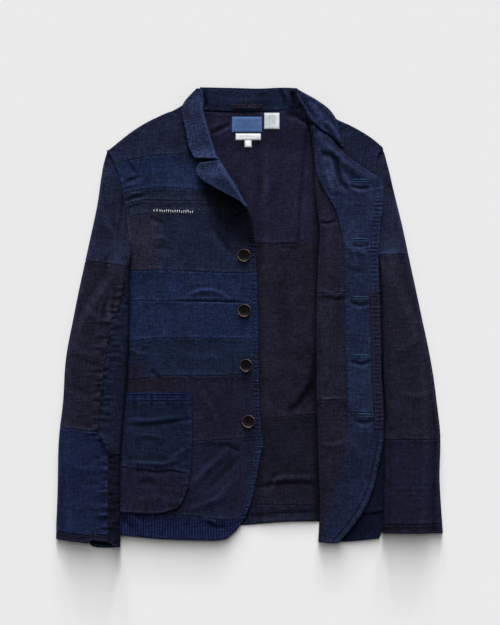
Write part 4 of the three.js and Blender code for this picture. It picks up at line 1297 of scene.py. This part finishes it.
for name, slot, edge, roll, share, surface, thread in (
    ("lapel_right_stitches", "lapel_right", lapel_edge, lapel_roll, 0.09, lapel_z, "bright"),
    ("collar_right_stitches", "collar_fall_right", fall_edge, fall_roll, 0.12, collar_high, "bright"),
    ("collar_left_stitches", "collar_left_open", collar_outer, collar_inner, 0.14, collar_left_z, "navy"),
):
    sewn(name, slot, row_on(surface, *between(edge, roll, share), 0.35), 0.9, threads[thread])
x = np.linspace(-60, 60, 200)
rows = row_on(stand_z, x, 322, 0.5, 2.6, 1.8)
sewn("collar_stand_stitches", "collar_stand_back", rows, 0.6, threads["dark"], 0.3)

rows = []
y = np.linspace(200, -345, 600)
for inside in (3.2, 12.5):
    slope = (flap_edge(y + 1) - flap_edge(y - 1)) / 2
    x = flap_edge(y) - inside * np.sqrt(1 + slope ** 2)
    lift = np.where((y < 36) & (y > -178) & (inside < 15), 1.7, 0.5)
    rows += run_along(x, y, facing_z(x, y) + lift)
sewn("facing_left_stitches", "facing_left_upper", rows, 0.8, threads["navy"])
y = np.linspace(290, -330, 600)
x = facing_inner(y) + 2.2
sewn("facing_left_inner_stitches", "facing_left_upper", run_along(x, y, facing_z(x, y) + 0.4), 0.7,
     threads["dark"])

rows = []
for side, stations, start in (("right", (-334, -340, -347), 0.2), ("left", (-323, -329, -338), 0.1)):
    for station in stations:
        s = np.linspace(start, 0.93, 160)
        spots = sleeve_points(SLEEVES[side], s, np.full_like(s, station))
        rows += run_along(spots[:, 0], spots[:, 1], spots[:, 2] + 0.5, 2.6, 1.6)
sewn("cuff_stitches", "sleeve_right_cuff", rows, 0.7, threads["dark"])
rows = []
x = np.linspace(14, 80, 100)
for y_row in (105, 110.5):
    rows += row_on(back_top_z, x, y_row, 0.3, 2.6, 1.6)
x = np.linspace(-5, 112, 200)
for y_row in (-299, -303.5):
    rows += row_on(back_top_z, x, y_row, 0.3, 2.6, 1.6)
for y_row in (-156, -161):
    rows += run_along(x, y_row + 2 * (x > 40), back_top_z(x, x * 0 + y_row) + 0.3, 2.6, 1.6)
sewn("back_stitches", "back_upper", rows, 0.6, threads["dark"], 0.35)

def height_at(surface, x, y):
    """A surface's height at one point."""
    return float(surface(np.array(x), np.array(y)))


# the white row of running stitches on the chest
rows = []
for k in range(18):
    x = -143.5 + (4.7 * k if k < 2 else 9.4 + 3.38 * (k - 2))
    lean = 0.25 * math.sin(5.3 * k)
    low = 160.0 - 0.033 * (x + 143.5) + 0.5 * math.sin(3.1 * k)
    high = low + 4.7 + 0.8 * math.sin(7.7 * k)
    height = height_at(front_top_z, x, 161.0) + 0.5
    rows.append(((x - lean, low, height), (x + lean, high, height)))
sewn("sashiko_stitches", "front_right_strip_lower", rows, 1.05, threads["white"], 0.6)

# buttonholes of the left front, each a slit with an eye at its outer end
bars = []
slits = []
for centre_x, centre_y in ((177.8, 209), (177.8, 117), (177.8, 26.5), (180.5, -64), (185.5, -156)):
    outline = []
    for k in range(17):
        outline.append((centre_x - 10.5 + k * 1.05, centre_y + 1.2))
        outline.append((centre_x - 10.5 + k * 1.05, centre_y - 1.2))
    for px, py in outline:
        z = height_at(facing_z, px, py) + 0.5
        away = 1.0 if py > centre_y else -1.0
        bars.append(((px, py - away * 0.5, z), (px + 0.3, py + away * 1.7, z)))
    for k in range(14):
        angle = 2 * math.pi * k / 14
        px = centre_x + 9.6
        z = height_at(facing_z, px, centre_y) + 0.5
        bars.append(((px + 1.6 * math.cos(angle), centre_y + 1.6 * math.sin(angle), z),
                     (px + 3.3 * math.cos(angle), centre_y + 3.0 * math.sin(angle), z)))
    z = height_at(facing_z, centre_x, centre_y) + 0.45
    slits.append(((centre_x - 11, centre_y, z), (centre_x + 11.4, centre_y, z)))
sewn("buttonhole_stitches", "facing_left_upper", bars, 0.6, threads["teal"])
# Painted shade: each slit is a near-black bar for the darkness inside the cut.
slit_material = plain("buttonhole_slit", (6, 8, 14), 0.9)
sewn("buttonhole_slits", "facing_left_upper", slits, 2.2, slit_material, 0.25)

# ---- buttons ----
button_material = plain("button", (11, 8, 9), 0.5, 0.1)
# Painted highlight: the rim's lighter brown stands for the light it catches.
rim_highlight_material = plain("button_rim_highlight", (62, 48, 48), 0.45, 0.15)
# Painted highlight: pale arcs that stand for the light caught on a button's rim.
painted_highlight_material = plain("painted_button_highlight", (150, 122, 108), 0.5, 0.2)
# Painted shadow: the first button and its rim take this near-black colour because the lapel's shadow lies on
# them.
shadowed_material = plain("button_shadowed", (7, 9, 16), 0.9, 0.02)
hole_material = plain("button_hole", (3, 3, 4), 0.9)


def lathe(profile, sides, centre, ring_shaped=False):
    """Points and faces of a profile of (radius, height) turned about an upright axis."""
    points = []
    for radius, height in profile:
        for i in range(sides):
            angle = 2 * math.pi * i / sides
            points.append((centre[0] + radius * math.cos(angle), centre[1] + radius * math.sin(angle),
                           centre[2] + height))
    faces = []
    for ring in range(len(profile) - 1):
        for i in range(sides):
            a = ring * sides + i
            b = ring * sides + (i + 1) % sides
            faces.append([a, b, b + sides, a + sides])
    last = (len(profile) - 1) * sides
    if ring_shaped:
        faces += [[last + i, last + (i + 1) % sides, (i + 1) % sides, i] for i in range(sides)]
    else:
        faces.append(list(range(sides))[::-1])
        faces.append([last + i for i in range(sides)])
    return points, faces


BUTTON_SIDES = 48
HOLE_SIDES = 12
HOLE_SPACING = 2.4      # from the button's centre to each of its four holes
HIGHLIGHT_RADIUS = 9.35
BUTTON_PROFILE = [(6.5, 0), (9.2, 0.4), (10, 1.4), (10, 2.2), (9.6, 2.8), (8.7, 2.9), (7.9, 2.6), (7.2, 2.0),
                  (6.0, 1.8), (0.4, 1.7)]
RIM_PROFILE = [(9.0, 2.7), (9.7, 2.7), (9.75, 3.0), (9.4, 3.25), (9.0, 3.1)]
for k, (bx, by) in enumerate([(-15, 167.5), (-3, 93), (-2.5, 7), (0, -78.5), (4, -166)]):
    base = height_at(front_top_z, bx, by) + 0.9
    points, faces = lathe(BUTTON_PROFILE, BUTTON_SIDES, (bx, by, base))
    button = add_mesh(f"button_{k + 1}_horn", np.array(points), faces,
                      button_material if k else shadowed_material)
    declare(button, [f"button_{k + 1}"])
    points, faces = lathe(RIM_PROFILE, BUTTON_SIDES, (bx, by, base), True)
    rim = add_mesh(f"button_{k + 1}_rim", np.array(points), faces,
                   rim_highlight_material if k else shadowed_material)
    declare(rim, (), f"button_{k + 1}")
    # Two short arcs of painted highlight on the rim of each button out of the lapel's shadow.
    painted_highlights = []
    for start, end in ((25, 80), (190, 290)):
        turns = np.radians(np.linspace(start, end, 12))
        spots = [(bx + HIGHLIGHT_RADIUS * math.cos(turn), by + HIGHLIGHT_RADIUS * math.sin(turn), base + 3.35)
                 for turn in turns]
        painted_highlights += list(zip(spots[:-1], spots[1:]))
    if k:
        sewn(f"button_{k + 1}_streaks", f"button_{k + 1}", painted_highlights, 0.8, painted_highlight_material)
    # The four holes are near-black discs: painted shade for the recesses.
    points = []
    faces = []
    for i in range(4):
        angle = math.pi / 4 + i * math.pi / 2
        centre = (bx + HOLE_SPACING * math.cos(angle), by + HOLE_SPACING * math.sin(angle), base + 1.6)
        more, rings = lathe([(1.1, 0), (1.1, 0.25), (0.3, 0.25)], HOLE_SIDES, centre)
        faces += [[len(points) + v for v in face] for face in rings]
        points += more
    holes = add_mesh(f"button_{k + 1}_holes", np.array(points), faces, hole_material)
    declare(holes, (), f"button_{k + 1}")
    cross = []
    for i in range(2):
        angle = math.pi / 4 + i * math.pi / 2
        dx = HOLE_SPACING * math.cos(angle)
        dy = HOLE_SPACING * math.sin(angle)
        for shift in (-0.3, 0.3):
            cross.append(((bx - dx + shift, by - dy, base + 1.9), (bx + dx + shift, by + dy, base + 1.9)))
    sewn(f"button_{k + 1}_thread", f"button_{k + 1}", cross, 0.5, threads["dark"])

# ---- floor, light, camera ----
# sizes here are metres
FLOOR_SIZE = 60
FLOOR_DROP = 0.0004
FRAME_CENTRE = (0.0062, 0.0039)
FRAME_HEIGHT = 0.975
FRAME_LEVEL = 0.005     # the height at which the frame is measured
CAMERA_HEIGHT = 2.8
SENSOR = 36
FILL_LIGHT = 0.17
bpy.ops.mesh.primitive_plane_add(size=FLOOR_SIZE, location=(0, 0, -FLOOR_DROP))
floor = bpy.context.object
floor.name = "floor"
floor_material = plain("floor", (233.4, 233.4, 233.4), 0.95, 0.0)
floor.data.materials.append(floor_material)


def sky_light(name, elevation, spread, turn, share):
    """Light from beyond the collar; share is the part of the floor's light that it gives."""
    data = bpy.data.lights.new(name, "SUN")
    data.angle = math.radians(spread)
    data.energy = math.pi * share / math.sin(math.radians(elevation))
    lamp = bpy.data.objects.new(name, data)
    level = math.cos(math.radians(elevation))
    direction = Vector((level * math.sin(math.radians(turn)), -level * math.cos(math.radians(turn)),
                        -math.sin(math.radians(elevation))))
    lamp.rotation_euler = direction.to_track_quat("-Z", "Y").to_euler()
    bpy.context.scene.collection.objects.link(lamp)


for k, (elevation, spread, turn, share) in enumerate([
    (8, 5, -8, 0.055), (8, 5, 8, 0.055), (12.5, 6, -6, 0.035), (12.5, 6, 6, 0.035), (17, 8, 0, 0.10),
    (23, 9, 0, 0.10), (31, 12, 0, 0.145), (45, 20, 0, 0.17), (68, 22, 0, 0.145),
]):
    sky_light(f"window_{k}", elevation, spread, turn, share)
world = bpy.data.worlds.new("studio")
bpy.context.scene.world = world
world.use_nodes = True
sky = world.node_tree.nodes["Background"]
sky.inputs["Color"].default_value = (1, 1, 1, 1)
sky.inputs["Strength"].default_value = FILL_LIGHT

camera_data = bpy.data.cameras.new("camera")
camera = bpy.data.objects.new("camera", camera_data)
bpy.context.scene.collection.objects.link(camera)
camera.location = (*FRAME_CENTRE, CAMERA_HEIGHT)
camera_data.sensor_width = SENSOR
camera_data.lens = SENSOR * (CAMERA_HEIGHT - FRAME_LEVEL) / FRAME_HEIGHT
bpy.context.scene.camera = camera
bpy.context.scene.view_settings.view_transform = "Standard"
